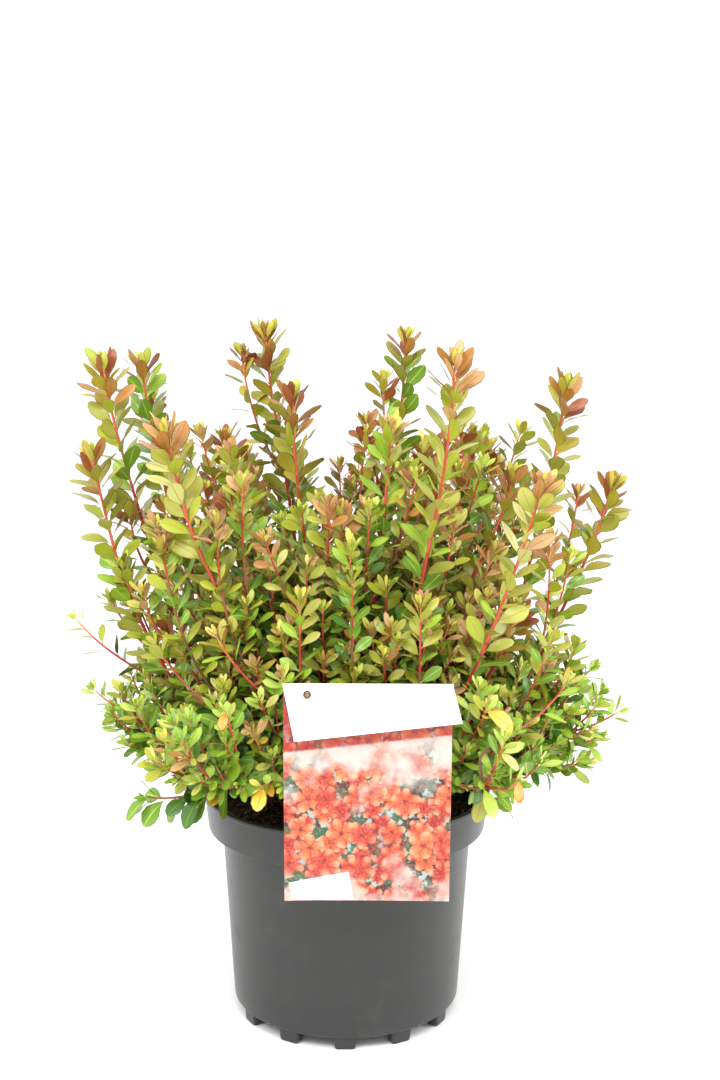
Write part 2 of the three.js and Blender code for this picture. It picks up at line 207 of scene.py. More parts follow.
def closed_sheet(front: Points, back: Points) -> tuple[Points, Points]:
    """A sheet with two sides and an edge.

    Args:
        front: The vertices of its front, by row and column.
        back: Those of its back.

    Returns:
        Its vertices and its faces, those of the front first.
    """
    rows, columns = front.shape[:2]
    number = np.arange(rows * columns).reshape(rows, columns)
    edge = np.concatenate([number[0, :-1], number[:-1, -1], number[-1, :0:-1], number[:0:-1, 0]])
    after, layer = np.roll(edge, -1), rows * columns
    faces = grid_faces(rows, columns)
    rim = np.stack([edge + layer, after + layer, after, edge], -1)
    return np.stack([front, back]).reshape(-1, 3), np.concatenate([faces, faces[:, ::-1] + layer, rim])


@dataclass
class MeshBatch:
    """Vertices and faces that are gathered up and made into one piece.

    Attributes:
        name: The piece's name.
        finishes: The materials that the faces choose from.
    """

    name: str
    finishes: list[Material] = field(default_factory=list)
    _points: list[Points] = field(default_factory=list)
    _faces: list[Points] = field(default_factory=list)
    _slots: list[Points] = field(default_factory=list)
    _count: int = 0

    def slot_of(self, finish: Material) -> int:
        """The place of a material in the piece, which gains it if it is new."""
        if finish not in self.finishes:
            self.finishes.append(finish)
        return self.finishes.index(finish)

    def add(self, points: Points, faces: Points, slots: Points | int = 0) -> None:
        """Adds a patch of mesh.

        Args:
            points: Its vertices.
            faces: Its faces, all with three or all with four corners.
            slots: The material of each face, or of all of them.
        """
        self._points.append(points.reshape(-1, 3))
        self._faces.append(faces + self._count)
        self._slots.append(np.broadcast_to(slots, (len(faces),)))
        self._count += len(self._points[-1])

    def build(self, smooth: bool = True) -> bpy.types.Object:
        """Makes the mesh into an object.

        Args:
            smooth: Whether it is shaded smooth.

        Returns:
            The object.
        """
        mesh = bpy.data.meshes.new(self.name)
        points = np.concatenate(self._points)
        mesh.vertices.add(len(points))
        mesh.vertices.foreach_set("co", points.astype(np.float32).ravel())
        corners = np.concatenate([faces.ravel() for faces in self._faces])
        sizes = np.concatenate([np.full(len(faces), faces.shape[1]) for faces in self._faces])
        mesh.loops.add(len(corners))
        mesh.loops.foreach_set("vertex_index", corners.astype(np.int32))
        mesh.polygons.add(len(sizes))
        mesh.polygons.foreach_set("loop_start", (np.cumsum(sizes) - sizes).astype(np.int32))
        mesh.polygons.foreach_set("material_index", np.concatenate(self._slots).astype(np.int32))
        mesh.polygons.foreach_set("use_smooth", np.full(len(sizes), smooth))
        for finish in self.finishes:
            mesh.materials.append(finish)
        mesh.update(calc_edges=True)
        mesh.validate()
        piece = bpy.data.objects.new(self.name, mesh)
        bpy.context.scene.collection.objects.link(piece)
        return piece

    def place(self, slot: str, *nodes: str, cutter: "MeshBatch | None" = None, smooth: bool = True) -> None:
        """Makes the piece, puts it in the place of solids and logs how many triangles it has.

        Args:
            slot: Not used.
            nodes: The solids that it replaces.
            cutter: Shapes that are cut out of it.
            smooth: Whether it is shaded smooth.
        """
        piece = self.build(smooth)
        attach(piece, "root")
        if cutter:
            carve(piece, cutter)
        if nodes:
            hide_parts(*nodes)
        triangles = sum(face.loop_total - 2 for face in piece.data.polygons)
        LOG.info("%s: %d triangles", piece.name, triangles)


def carve(piece: bpy.types.Object, cutter: MeshBatch) -> None:
    """Cuts a batch of closed shapes out of a piece, and leaves no modifier on it.

    Args:
        piece: The piece.
        cutter: The shapes, which are used up.
    """
    tool = cutter.build()
    cut = piece.modifiers.new("cut", "BOOLEAN")
    cut.operation = "DIFFERENCE"
    cut.solver = "EXACT"
    cut.object = tool
    bpy.context.view_layer.update()
    evaluated = piece.evaluated_get(bpy.context.evaluated_depsgraph_get())
    carved = bpy.data.meshes.new_from_object(evaluated)
    piece.modifiers.clear()
    whole = piece.data
    piece.data = carved
    bpy.data.meshes.remove(whole)
    spent = tool.data
    bpy.data.objects.remove(tool)
    bpy.data.meshes.remove(spent)


# ---- finishes


def linear(colour: Colour) -> tuple[float, float, float, float]:
    """A colour of three bytes as the linear light that a shader takes."""
    shares = [channel / 255 for channel in colour]
    lit = [share / 12.92 if share <= 0.04045 else ((share + 0.055) / 1.055) ** 2.4 for share in shares]
    return (lit[0], lit[1], lit[2], 1.0)


class Bench:
    """A material's nodes, with short ways to add and join them."""

    def __init__(self, name: str) -> None:
        """Starts a material with its one shader."""
        self.material = bpy.data.materials.new(name)
        self.material.use_nodes = True
        self.tree = self.material.node_tree
        self.shader = self.tree.nodes["Principled BSDF"]

    def set(self, **values: float | tuple) -> None:
        """Sets plain values on the shader, with underscores for the spaces in a socket's name."""
        for name, value in values.items():
            self.shader.inputs[name.replace("_", " ")].default_value = value

    def add(self, kind: str, settings: dict | None = None, **inputs: object) -> bpy.types.Node:
        """Adds a node.

        Args:
            kind: Its type, without the words ShaderNode.
            settings: Its own properties.
            inputs: A value or another node's socket for each named input.

        Returns:
            The node.
        """
        node = self.tree.nodes.new("ShaderNode" + kind)
        for name, value in (settings or {}).items():
            setattr(node, name, value)
        for name, value in inputs.items():
            self.feed(node, name.replace("_", " "), value)
        return node

    def feed(self, node: bpy.types.Node, name: str | int, value: object) -> None:
        """Gives a node's input a value or another node's socket."""
        socket = node.inputs[name]
        if isinstance(value, Socket):
            self.tree.links.new(value, socket)
        else:
            socket.default_value = value

    def place(self, scale: Triple = (1, 1, 1)) -> Socket:
        """The place on the piece, stretched by a scale."""
        where = self.add("TexCoord").outputs["Object"]
        return self.add("Mapping", Vector=where, Scale=scale).outputs["Vector"]

    def grain(self, scale: float, detail: float, where: Socket | None = None) -> Socket:
        """A noise of a given fineness, from nought to one."""
        where = where or self.place()
        return self.add("TexNoise", Vector=where, Scale=scale, Detail=detail).outputs["Fac"]

    def math(self, operation: str, first: object, second: object = 0.0) -> Socket:
        """The result of a sum on one or two values."""
        node = self.add("Math", {"operation": operation})
        self.feed(node, 0, first)
        self.feed(node, 1, second)
        return node.outputs[0]

    def step(self, value: object, low: float, high: float) -> Socket:
        """A smooth rise from nought at low to one at high, or a fall where low is the larger."""
        node = self.add("MapRange", {"interpolation_type": "SMOOTHSTEP"}, Value=value)
        ends = ((low, 0.0), (high, 1.0)) if low < high else ((high, 1.0), (low, 0.0))
        for number, (start, result) in enumerate(ends):
            node.inputs[1 + number].default_value = start
            node.inputs[3 + number].default_value = result
        return node.outputs[0]

    def blend(self, share: object, first: object, second: object) -> Socket:
        """A mix of two colours, each a socket or three bytes."""
        node = self.add("Mix", {"data_type": "RGBA"})
        self.feed(node, 0, share)
        for number, colour in ((6, first), (7, second)):
            self.feed(node, number, linear(colour) if isinstance(colour, tuple) else colour)
        return node.outputs[2]

    def colour(self, socket: Socket) -> None:
        """Gives the shader its colour."""
        self.feed(self.shader, "Base Color", socket)

    def bump(self, height: Socket, distance: float, strength: float) -> None:
        """Gives the shader a fine relief."""
        node = self.add("Bump", Height=height, Strength=strength, Distance=distance)
        self.feed(self.shader, "Normal", node.outputs["Normal"])


@dataclass(frozen=True)
class PlainFinish:
    """A plain surface of one colour, and how matt it is from nought to one."""

    name: str
    colour: Colour
    roughness: float = 0.5

    def material(self) -> Material:
        """The finish as a material, made once."""
        found = bpy.data.materials.get(self.name)
        if found:
            return found
        bench = Bench(self.name)
        bench.set(Base_Color=linear(self.colour), Roughness=self.roughness)
        return bench.material


@dataclass(frozen=True)
class MouldedPlastic:
    """Dark satin polypropylene with a faint grain from its mould and a little dust."""

    shade: Colour = (42, 43, 42)
    dusty: Colour = (61, 61, 59)

    def material(self) -> Material:
        """The finish as a material."""
        bench = Bench("moulded_grey_plastic")
        flow = bench.grain(9, 4, bench.place((1, 1, 5)))
        dust = bench.step(bench.grain(70, 5), 0.5, 0.8)
        share = bench.math("MULTIPLY", bench.math("ADD", flow, dust), 0.45)
        bench.colour(bench.blend(share, self.shade, self.dusty))
        bench.set(Specular_IOR_Level=0.36)
        rough = bench.math("MULTIPLY_ADD", dust, 0.12)
        rough.node.inputs[2].default_value = 0.32
        bench.feed(bench.shader, "Roughness", rough)
        bench.bump(bench.grain(900, 2), 0.00006, 0.35)
        return bench.material


@dataclass(frozen=True)
class PeatyCompost:
    """Moist dark compost with fibres and paler crumbs."""

    wet: Colour = (34, 24, 17)
    dry: Colour = (92, 68, 48)

    def material(self) -> Material:
        """The finish as a material."""
        bench = Bench("peaty_compost")
        clods = bench.grain(260, 6)
        fibres = bench.grain(500, 4, bench.place((1, 0.3, 1)))
        share = bench.step(bench.math("ADD", clods, fibres), 0.86, 1.3)
        bench.colour(bench.blend(share, self.wet, self.dry))
        bench.set(Roughness=0.9)
        bench.bump(clods, 0.0012, 0.8)
        return bench.material


@dataclass(frozen=True)
class OldBark:
    """Thin brown bark with long fissures and paler flakes."""

    deep: Colour = (66, 42, 30)
    flake: Colour = (150, 108, 78)

    def material(self) -> Material:
        """The finish as a material."""
        bench = Bench("old_bark")
        along = bench.grain(420, 5, bench.place((1, 1, 0.25)))
        flakes = bench.step(bench.math("ADD", along, bench.grain(150, 3)), 0.85, 1.2)
        bench.colour(bench.blend(flakes, self.deep, self.flake))
        bench.set(Roughness=0.82)
        bench.bump(along, 0.0005, 0.7)
        return bench.material


@dataclass(frozen=True)
class BloomPrint:
    """A glossy print of blurred leaves with five-petalled blooms scattered over it.

    Its top is whitened in cloudy patches by a painted reflection of glare, which stops short of a
    deeper red strip of painted shade under the flap. The print also grows paler towards its foot.

    Attributes:
        centre: The middle of the label across.
        top: The height of its fold.
        blooms: How many blooms there are to a metre.
        flap_edge: The height of the flap's lower edge at the label's middle.
        flap_slope: How fast that edge rises towards +X.
    """

    centre: float
    top: float
    flap_edge: float
    flap_slope: float
    blooms: float = 46.0
    coral: Colour = (194, 86, 38)
    rose: Colour = (160, 18, 10)
    blush: Colour = (222, 164, 124)
    leafy: Colour = (34, 84, 54)
    shadow: Colour = (50, 26, 24)
    # The pale colour of the painted glare on the top, which the paler foot takes as well.
    glare_and_fade: Colour = (204, 190, 182)

    def _bloom(self, bench: Bench, where: Socket, scale: float, hues: tuple, ground: object) -> Socket:
        """Lays one layer of five-petalled blooms over a colour.

        Args:
            bench: The material's bench.
            where: The place on the label.
            scale: How many blooms there are to a metre.
            hues: The two colours that blooms lie between.
            ground: The colour under them.

        Returns:
            The colour with the blooms on it.
        """
        in_plane = {"voronoi_dimensions": "2D"}
        cells = bench.add("TexVoronoi", in_plane, Vector=where, Scale=scale, Randomness=0.8)
        arm = bench.add("VectorMath", {"operation": "SUBTRACT"})
        bench.feed(arm, 0, where)
        bench.feed(arm, 1, cells.outputs["Position"])
        parts = bench.add("SeparateXYZ", Vector=arm.outputs[0])
        number = bench.add("SeparateColor", Color=cells.outputs["Color"]).outputs[0]
        angle = bench.math("ARCTAN2", parts.outputs[1], parts.outputs[0])
        spin = bench.math("MULTIPLY", number, 6.28)
        lobe = bench.math("COSINE", bench.math("ADD", bench.math("MULTIPLY", angle, 2.5), spin))
        lobe = bench.math("ABSOLUTE", lobe)
        reach = bench.math("ADD", bench.math("MULTIPLY", bench.math("POWER", lobe, 0.6), 0.24), 0.19)
        distance = cells.outputs["Distance"]
        petals = bench.step(bench.math("SUBTRACT", reach, distance), -0.015, 0.03)
        hue = bench.blend(number, *hues)
        shine = bench.math("MULTIPLY", bench.step(lobe, 0.6, 1.0), bench.step(distance, 0.16, 0.42))
        hue = bench.blend(bench.math("MULTIPLY", shine, 0.8), hue, self.blush)
        hue = bench.blend(bench.step(lobe, 0.34, 0.05), hue, self.rose)
        hue = bench.blend(bench.step(distance, 0.13, 0.02), hue, (132, 18, 20))
        return bench.blend(petals, ground, hue)

    def material(self) -> Material:
        """The finish as a material."""
        bench = Bench("bloom_print")
        there = bench.add("SeparateXYZ", Vector=bench.add("TexCoord").outputs["Object"])
        x, z = there.outputs[0], there.outputs[2]
        flat = bench.add("CombineXYZ", X=x, Y=z).outputs[0]
        warp = bench.add("TexNoise", Vector=flat, Scale=120.0, Detail=2.0).outputs["Color"]
        push = bench.add("VectorMath", {"operation": "MULTIPLY_ADD"})
        for number, value in enumerate((warp, (0.0035, 0.0035, 0.0), flat)):
            bench.feed(push, number, value)
        where = push.outputs[0]
        ground = bench.blend(bench.step(bench.grain(80, 2, flat), 0.42, 0.58), self.shadow, self.leafy)
        ground = bench.blend(bench.step(bench.grain(150, 2, flat), 0.54, 0.62), ground, (140, 170, 168))
        for share, hues in (
            (1.25, (self.rose, (176, 44, 22))),
            (1.1, (self.rose, self.coral)),
            (0.94, ((176, 44, 20), (204, 108, 58))),
        ):
            shifted = bench.add("Mapping", Vector=where, Location=(share * 0.9, 0.37, 0)).outputs[0]
            ground = self._bloom(bench, shifted, self.blooms * share, hues, ground)
        patch = bench.math("MULTIPLY", bench.step(bench.grain(34, 2, flat), 0.48, 0.6), 0.42)
        ground = bench.blend(patch, ground, self.rose)
        fleck = bench.step(bench.grain(520, 3, flat), 0.42, 0.7)
        ground = bench.blend(bench.math("MULTIPLY", fleck, 0.22), ground, (220, 160, 138))
        # Painted reflection: near the fold the print is whitened towards the pale colour in cloudy patches,
        # as painted glare on the gloss. Near its foot it is made paler as well.
        height = bench.math("SUBTRACT", z, self.top)
        cloud = bench.math("MULTIPLY", bench.math("SUBTRACT", bench.grain(42, 3, flat), 0.5), 0.11)
        glare_patches = bench.step(bench.grain(70, 3, flat), 0.36, 0.62)
        glare_strength = bench.math("ADD", bench.math("MULTIPLY", glare_patches, 0.4), 0.56)
        cloudy = bench.math("ADD", height, cloud)
        high = bench.math("MULTIPLY", bench.step(cloudy, -0.072, -0.044), glare_strength)
        low = bench.step(cloudy, -0.124, -0.150)
        pale = bench.math("MULTIPLY", bench.math("MAXIMUM", high, bench.math("MULTIPLY", low, 0.68)), 0.92)
        # Painted shade: the painted glare stops about a centimetre below the flap's edge, and the strip above
        # that, under the flap, is painted deeper red.
        slant = bench.math("MULTIPLY", bench.math("SUBTRACT", x, self.centre), self.flap_slope)
        under_flap = bench.math("SUBTRACT", bench.math("ADD", slant, self.flap_edge), z)
        bright = bench.step(under_flap, 0.0085, 0.0105)
        pale = bench.math("MULTIPLY", pale, bright)
        flap_shade_strip = bench.math("MULTIPLY", bench.math("SUBTRACT", 1.0, bright), 0.5)
        ground = bench.blend(flap_shade_strip, ground, self.rose)
        bench.colour(bench.blend(pale, ground, self.glare_and_fade))
        bench.set(Roughness=0.4)
        return bench.material


class Edge(Enum):
    """The finishes of a leaf's margin."""

    RUST = PlainFinish("leaf_margin_rust", (140, 72, 34))
    AMBER = PlainFinish("leaf_margin_amber", (158, 120, 44))
    MOSS = PlainFinish("leaf_margin_moss", (104, 122, 38))
    PINE = PlainFinish("leaf_margin_pine", (50, 82, 28))


class Rib(Enum):
    """The finishes of a leaf's midrib."""

    CRIMSON = PlainFinish("leaf_rib_crimson", (176, 84, 48))
    COPPER = PlainFinish("leaf_rib_copper", (184, 132, 60))
    LIME = PlainFinish("leaf_rib_lime", (186, 200, 92))
    MOSS = PlainFinish("leaf_rib_moss", (110, 146, 52))


@dataclass(frozen=True)
class LeafTone:
    """The colours of one kind of leaf: its blade, its margin and its midrib."""

    name: str
    colour: Colour
    edge: Edge
    rib: Rib
    roughness: float = 0.38

    def materials(self) -> list[Material]:
        """The materials of the blade, the margin and the midrib."""
        blade = PlainFinish("leaf_" + self.name, self.colour, self.roughness)
        return [finish.material() for finish in (blade, self.edge.value, self.rib.value)]


class Tone(Enum):
    """The tones that leaves are dealt."""

    BUD = LeafTone("bud", (214, 206, 92), Edge.AMBER, Rib.LIME)
    BUD_LIME = LeafTone("bud_lime", (188, 198, 76), Edge.MOSS, Rib.LIME)
    CHESTNUT = LeafTone("chestnut", (146, 82, 45), Edge.RUST, Rib.CRIMSON)
    BRONZE = LeafTone("bronze", (168, 122, 58), Edge.RUST, Rib.CRIMSON)
    PEACH = LeafTone("peach", (198, 158, 106), Edge.RUST, Rib.COPPER)
    KHAKI = LeafTone("khaki", (168, 160, 52), Edge.RUST, Rib.COPPER)
    # A darker, duller olive dealt mostly on the canes, whose leaves take more light than the dome's: painted
    # shade.
    SAGE = LeafTone("sage", (152, 160, 62), Edge.RUST, Rib.COPPER)
    OLIVE = LeafTone("olive", (156, 171, 46), Edge.AMBER, Rib.COPPER)
    STRAW = LeafTone("straw", (172, 177, 76), Edge.AMBER, Rib.COPPER)
    PALE = LeafTone("pale", (190, 192, 116), Edge.AMBER, Rib.COPPER)
    FRESH = LeafTone("fresh", (144, 178, 48), Edge.MOSS, Rib.LIME)
    LIGHT = LeafTone("light", (174, 194, 82), Edge.MOSS, Rib.LIME)
    MID = LeafTone("mid", (112, 152, 44), Edge.MOSS, Rib.LIME, 0.34)
    DEEP = LeafTone("deep", (70, 112, 36), Edge.PINE, Rib.MOSS, 0.3)
    OLD_YELLOW = LeafTone("old_yellow", (236, 188, 62), Edge.AMBER, Rib.COPPER)
    OLD_ORANGE = LeafTone("old_orange", (228, 144, 50), Edge.RUST, Rib.COPPER)


TONES = list(Tone)


@dataclass(frozen=True)
class Band:
    """The tones of a spray's leaves down to a depth below its tip, with the share of each."""

    depth: float
    tones: dict[Tone, float]

    def deal(self, count: int, rng: Chance) -> Points:
        """Tones for a count of leaves, as their places in TONES."""
        shares = np.array(list(self.tones.values()))
        places = np.array([TONES.index(tone) for tone in self.tones])
        return rng.choice(places, count, p=shares / shares.sum())


T = Tone
FAR = 9.0


class Spray(Enum):
    """How the tones run down a spray, from its bud to its oldest leaves."""

    BRONZED = (
        Band(0.0035, {T.BUD: 5, T.BUD_LIME: 3, T.BRONZE: 2}),
        Band(0.014, {T.CHESTNUT: 5, T.BRONZE: 5, T.KHAKI: 2}),
        Band(0.030, {T.KHAKI: 4, T.BRONZE: 3, T.SAGE: 3, T.CHESTNUT: 1}),
        Band(0.075, {T.SAGE: 5, T.OLIVE: 2, T.KHAKI: 3, T.MID: 1}),
        Band(0.140, {T.SAGE: 4, T.OLIVE: 3, T.FRESH: 2, T.MID: 2}),
        Band(FAR, {T.FRESH: 3, T.MID: 4, T.SAGE: 3}),
    )
    GILDED = (
        Band(0.0050, {T.BUD: 6, T.BUD_LIME: 2}),
        Band(0.016, {T.CHESTNUT: 6, T.BRONZE: 2, T.KHAKI: 2}),
        Band(0.070, {T.MID: 4, T.SAGE: 4, T.FRESH: 2, T.KHAKI: 1}),
        Band(FAR, {T.MID: 5, T.FRESH: 3, T.SAGE: 2}),
    )
    BLUSHED = (
        Band(0.004, {T.PEACH: 4, T.BUD: 2}),
        Band(0.020, {T.PEACH: 5, T.BRONZE: 4, T.STRAW: 2}),
        Band(0.060, {T.PALE: 2, T.STRAW: 4, T.OLIVE: 3, T.SAGE: 2, T.PEACH: 1}),
        Band(0.120, {T.STRAW: 2, T.OLIVE: 3, T.SAGE: 3, T.FRESH: 2}),
        Band(FAR, {T.SAGE: 3, T.FRESH: 4, T.MID: 4}),
    )
    WARM = (
        Band(0.004, {T.BUD: 3, T.PEACH: 4}),
        Band(0.012, {T.PEACH: 2, T.BRONZE: 2, T.STRAW: 4, T.OLIVE: 3, T.KHAKI: 2}),
        Band(0.034, {T.STRAW: 3, T.OLIVE: 3, T.SAGE: 2, T.FRESH: 4}),
        Band(FAR, {T.OLIVE: 2, T.FRESH: 4, T.MID: 5, T.DEEP: 1}),
    )
    OLIVED = (
        Band(0.004, {T.BUD: 2, T.BUD_LIME: 4, T.STRAW: 2}),
        Band(0.014, {T.STRAW: 3, T.OLIVE: 4, T.KHAKI: 1, T.LIGHT: 2}),
        Band(0.034, {T.OLIVE: 3, T.FRESH: 4, T.MID: 3}),
        Band(FAR, {T.MID: 5, T.FRESH: 2, T.DEEP: 3}),
    )
    SAPPY = (
        Band(0.004, {T.BUD_LIME: 5, T.LIGHT: 3, T.PEACH: 1}),
        Band(0.014, {T.LIGHT: 4, T.FRESH: 5, T.STRAW: 2}),
        Band(0.034, {T.FRESH: 5, T.LIGHT: 1, T.MID: 4}),
        Band(FAR, {T.MID: 5, T.FRESH: 2, T.DEEP: 3}),
    )
    # Dark greens for the low dome and its skirt, darker as painted shade under the dome.
    SHADED = (
        Band(0.004, {T.LIGHT: 2, T.BUD_LIME: 3, T.FRESH: 4}),
        Band(0.014, {T.FRESH: 5, T.MID: 5, T.LIGHT: 1}),
        Band(0.034, {T.MID: 6, T.FRESH: 2, T.DEEP: 3}),
        Band(FAR, {T.MID: 4, T.DEEP: 5, T.OLD_YELLOW: 0.2, T.OLD_ORANGE: 0.15}),
    )
    INNER = (Band(FAR, {T.DEEP: 2, T.MID: 5, T.FRESH: 3, T.OLD_YELLOW: 0.15, T.OLD_ORANGE: 0.15}),)


class Wood(Enum):
    """The finishes of young wood, from the oldest twig to the tip of a shoot."""

    BROWN = PlainFinish("twig_brown", (104, 72, 50), 0.7)
    RUSSET = PlainFinish("twig_russet", (146, 82, 58), 0.6)
    CRIMSON = PlainFinish("shoot_crimson", (172, 54, 42))
    CORAL = PlainFinish("shoot_coral", (198, 84, 60))
    SALMON = PlainFinish("shoot_salmon", (212, 136, 82))

    @staticmethod
    def slots(batch: MeshBatch) -> Points:
        """The places of all these finishes in a piece."""
        return np.array([batch.slot_of(wood.value.material()) for wood in Wood])


# ---- leaves


@dataclass(frozen=True)
class Habit:
    """How a shoot carries its leaves, from its bud down.

    Attributes:
        bud: How many small leaves stand in the bud, and the length of the longest.
        rosette: How many leaves crowd under it, and how deep down they reach.
        leaf: The length of a full-grown leaf.
        slim: The least and the greatest width of a leaf, as shares of its length.
        internode: The gap between leaves under the rosette, and at the foot of the shoot.
        bud_spread: How far the bud's leaves lean out, the inmost and the outmost.
        rosette_spread: The same of the rosette.
        stem_spread: The same of the leaves below it, at the top and at the foot.
        light: How far a blade turns to the light, from nought to one.
        lift: How far a leaf on a slanting shoot turns upwards.
        droop: How far a blade bends back along its length, in radians.
        roll: How unevenly the blades turn about their stalks.
    """

    bud: tuple[int, float]
    rosette: tuple[int, float]
    leaf: float
    slim: Pair
    internode: Pair
    bud_spread: Pair = (12, 38)
    rosette_spread: Pair = (34, 62)
    stem_spread: Pair = (46, 66)
    light: float = 0.4
    lift: float = 0.15
    droop: Pair = (0.1, 0.6)
    roll: float = 0.42


class Growth(Enum):
    """The habits of the plant's shoots."""

    CANE = Habit(
        (10, 0.0150), (15, 0.026), 0.0226, (0.42, 0.54), (0.0033, 0.0047),
        (8, 34), (28, 54), (38, 58), light=0.45, lift=0.04,
    )
    SPUR = Habit(
        (7, 0.0105), (9, 0.014), 0.0168, (0.42, 0.54), (0.0035, 0.0050),
        (10, 36), (30, 56), (40, 60), light=0.45, lift=0.06,
    )
    DOME = Habit((5, 0.0080), (7, 0.010), 0.0148, (0.43, 0.56), (0.0034, 0.0050))
    SKIRT = Habit((4, 0.0080), (6, 0.012), 0.0172, (0.44, 0.60), (0.0042, 0.0062), light=0.55, lift=0.2)
    RIM = Habit((3, 0.0090), (5, 0.013), 0.0205, (0.60, 0.74), (0.0064, 0.0090), light=0.6, lift=0.1)
    THIN = Habit((4, 0.0090), (3, 0.010), 0.0170, (0.36, 0.46), (0.0062, 0.0095), light=0.3)
    STRAY = Habit((5, 0.0100), (6, 0.014), 0.0170, (0.42, 0.54), (0.0060, 0.0090))
    INNER = Habit((2, 0.0100), (4, 0.013), 0.0165, (0.50, 0.64), (0.0050, 0.0070), light=0.4)


class Part(Enum):
    """The pieces that leaves are gathered into."""

    CANES = 0
    UPPER = 1
    DOME = 2
    INNER = 3
    RIM = 4


@dataclass
class Shoot:
    """A shoot before a twig joins it to the wood.

    Attributes:
        line: Its points from its foot to its tip.
        growth: How it carries its leaves.
        spray: How their tones run.
        part: The piece that they go to.
        size: How large they are.
        bare: How much of its foot is bare, or less than nothing where the twig is leafy too.
    """

    line: Points
    growth: Growth
    spray: Spray
    part: Part
    size: float = 1.0
    bare: float = 0.004


@dataclass(frozen=True)
class LeafPattern:
    """The grid that a leaf is drawn on, from the foot of its stalk to its tip.

    Attributes:
        rows: Shares of the leaf's length.
        columns: Shares of its half width, from its left margin to its right one.
        stalk: The share of its length that is stalk.
        stalk_width: The least half width up to its middle, as a share of the greatest.
        tip_width: The least half width past its middle.
        fine: Whether its margin and midrib have colours of their own.
    """

    rows: tuple[float, ...]
    columns: tuple[float, ...]
    stalk: float = 0.09
    stalk_width: float = 0.11
    tip_width: float = 0.12
    fine: bool = True

    def half_widths(self) -> Points:
        """The half width at each row as a share of the greatest, widest past the middle."""
        along = np.array(self.rows)
        blade = np.clip((along - self.stalk) / (1 - self.stalk), 0, 1)
        outline = blade**0.85 * (1 - blade) ** 0.64 / 0.3612
        return np.maximum(outline, np.where(along > 0.5, self.tip_width, self.stalk_width))

    def parts(self) -> Points:
        """For each face, whether it is blade (0), margin (1) or midrib (2)."""
        strips = len(self.columns) - 1
        kinds = np.zeros((len(self.rows) - 1, strips), int)
        if self.fine:
            kinds[:, [0, -1]] = 1
            kinds[:, strips // 2] = 2
            kinds[0] = 2
        return kinds.ravel()


FINE_LEAF = LeafPattern((0, 0.1, 0.27, 0.5, 0.73, 0.92, 1), (-1, -0.88, -0.06, 0.06, 0.88, 1))
DOME_LEAF = LeafPattern((0, 0.1, 0.32, 0.6, 0.86, 1), (-1, -0.88, -0.06, 0.06, 0.88, 1))
COARSE_LEAF = LeafPattern((0, 0.12, 0.36, 0.62, 0.86, 1), (-1, 0, 1), fine=False)


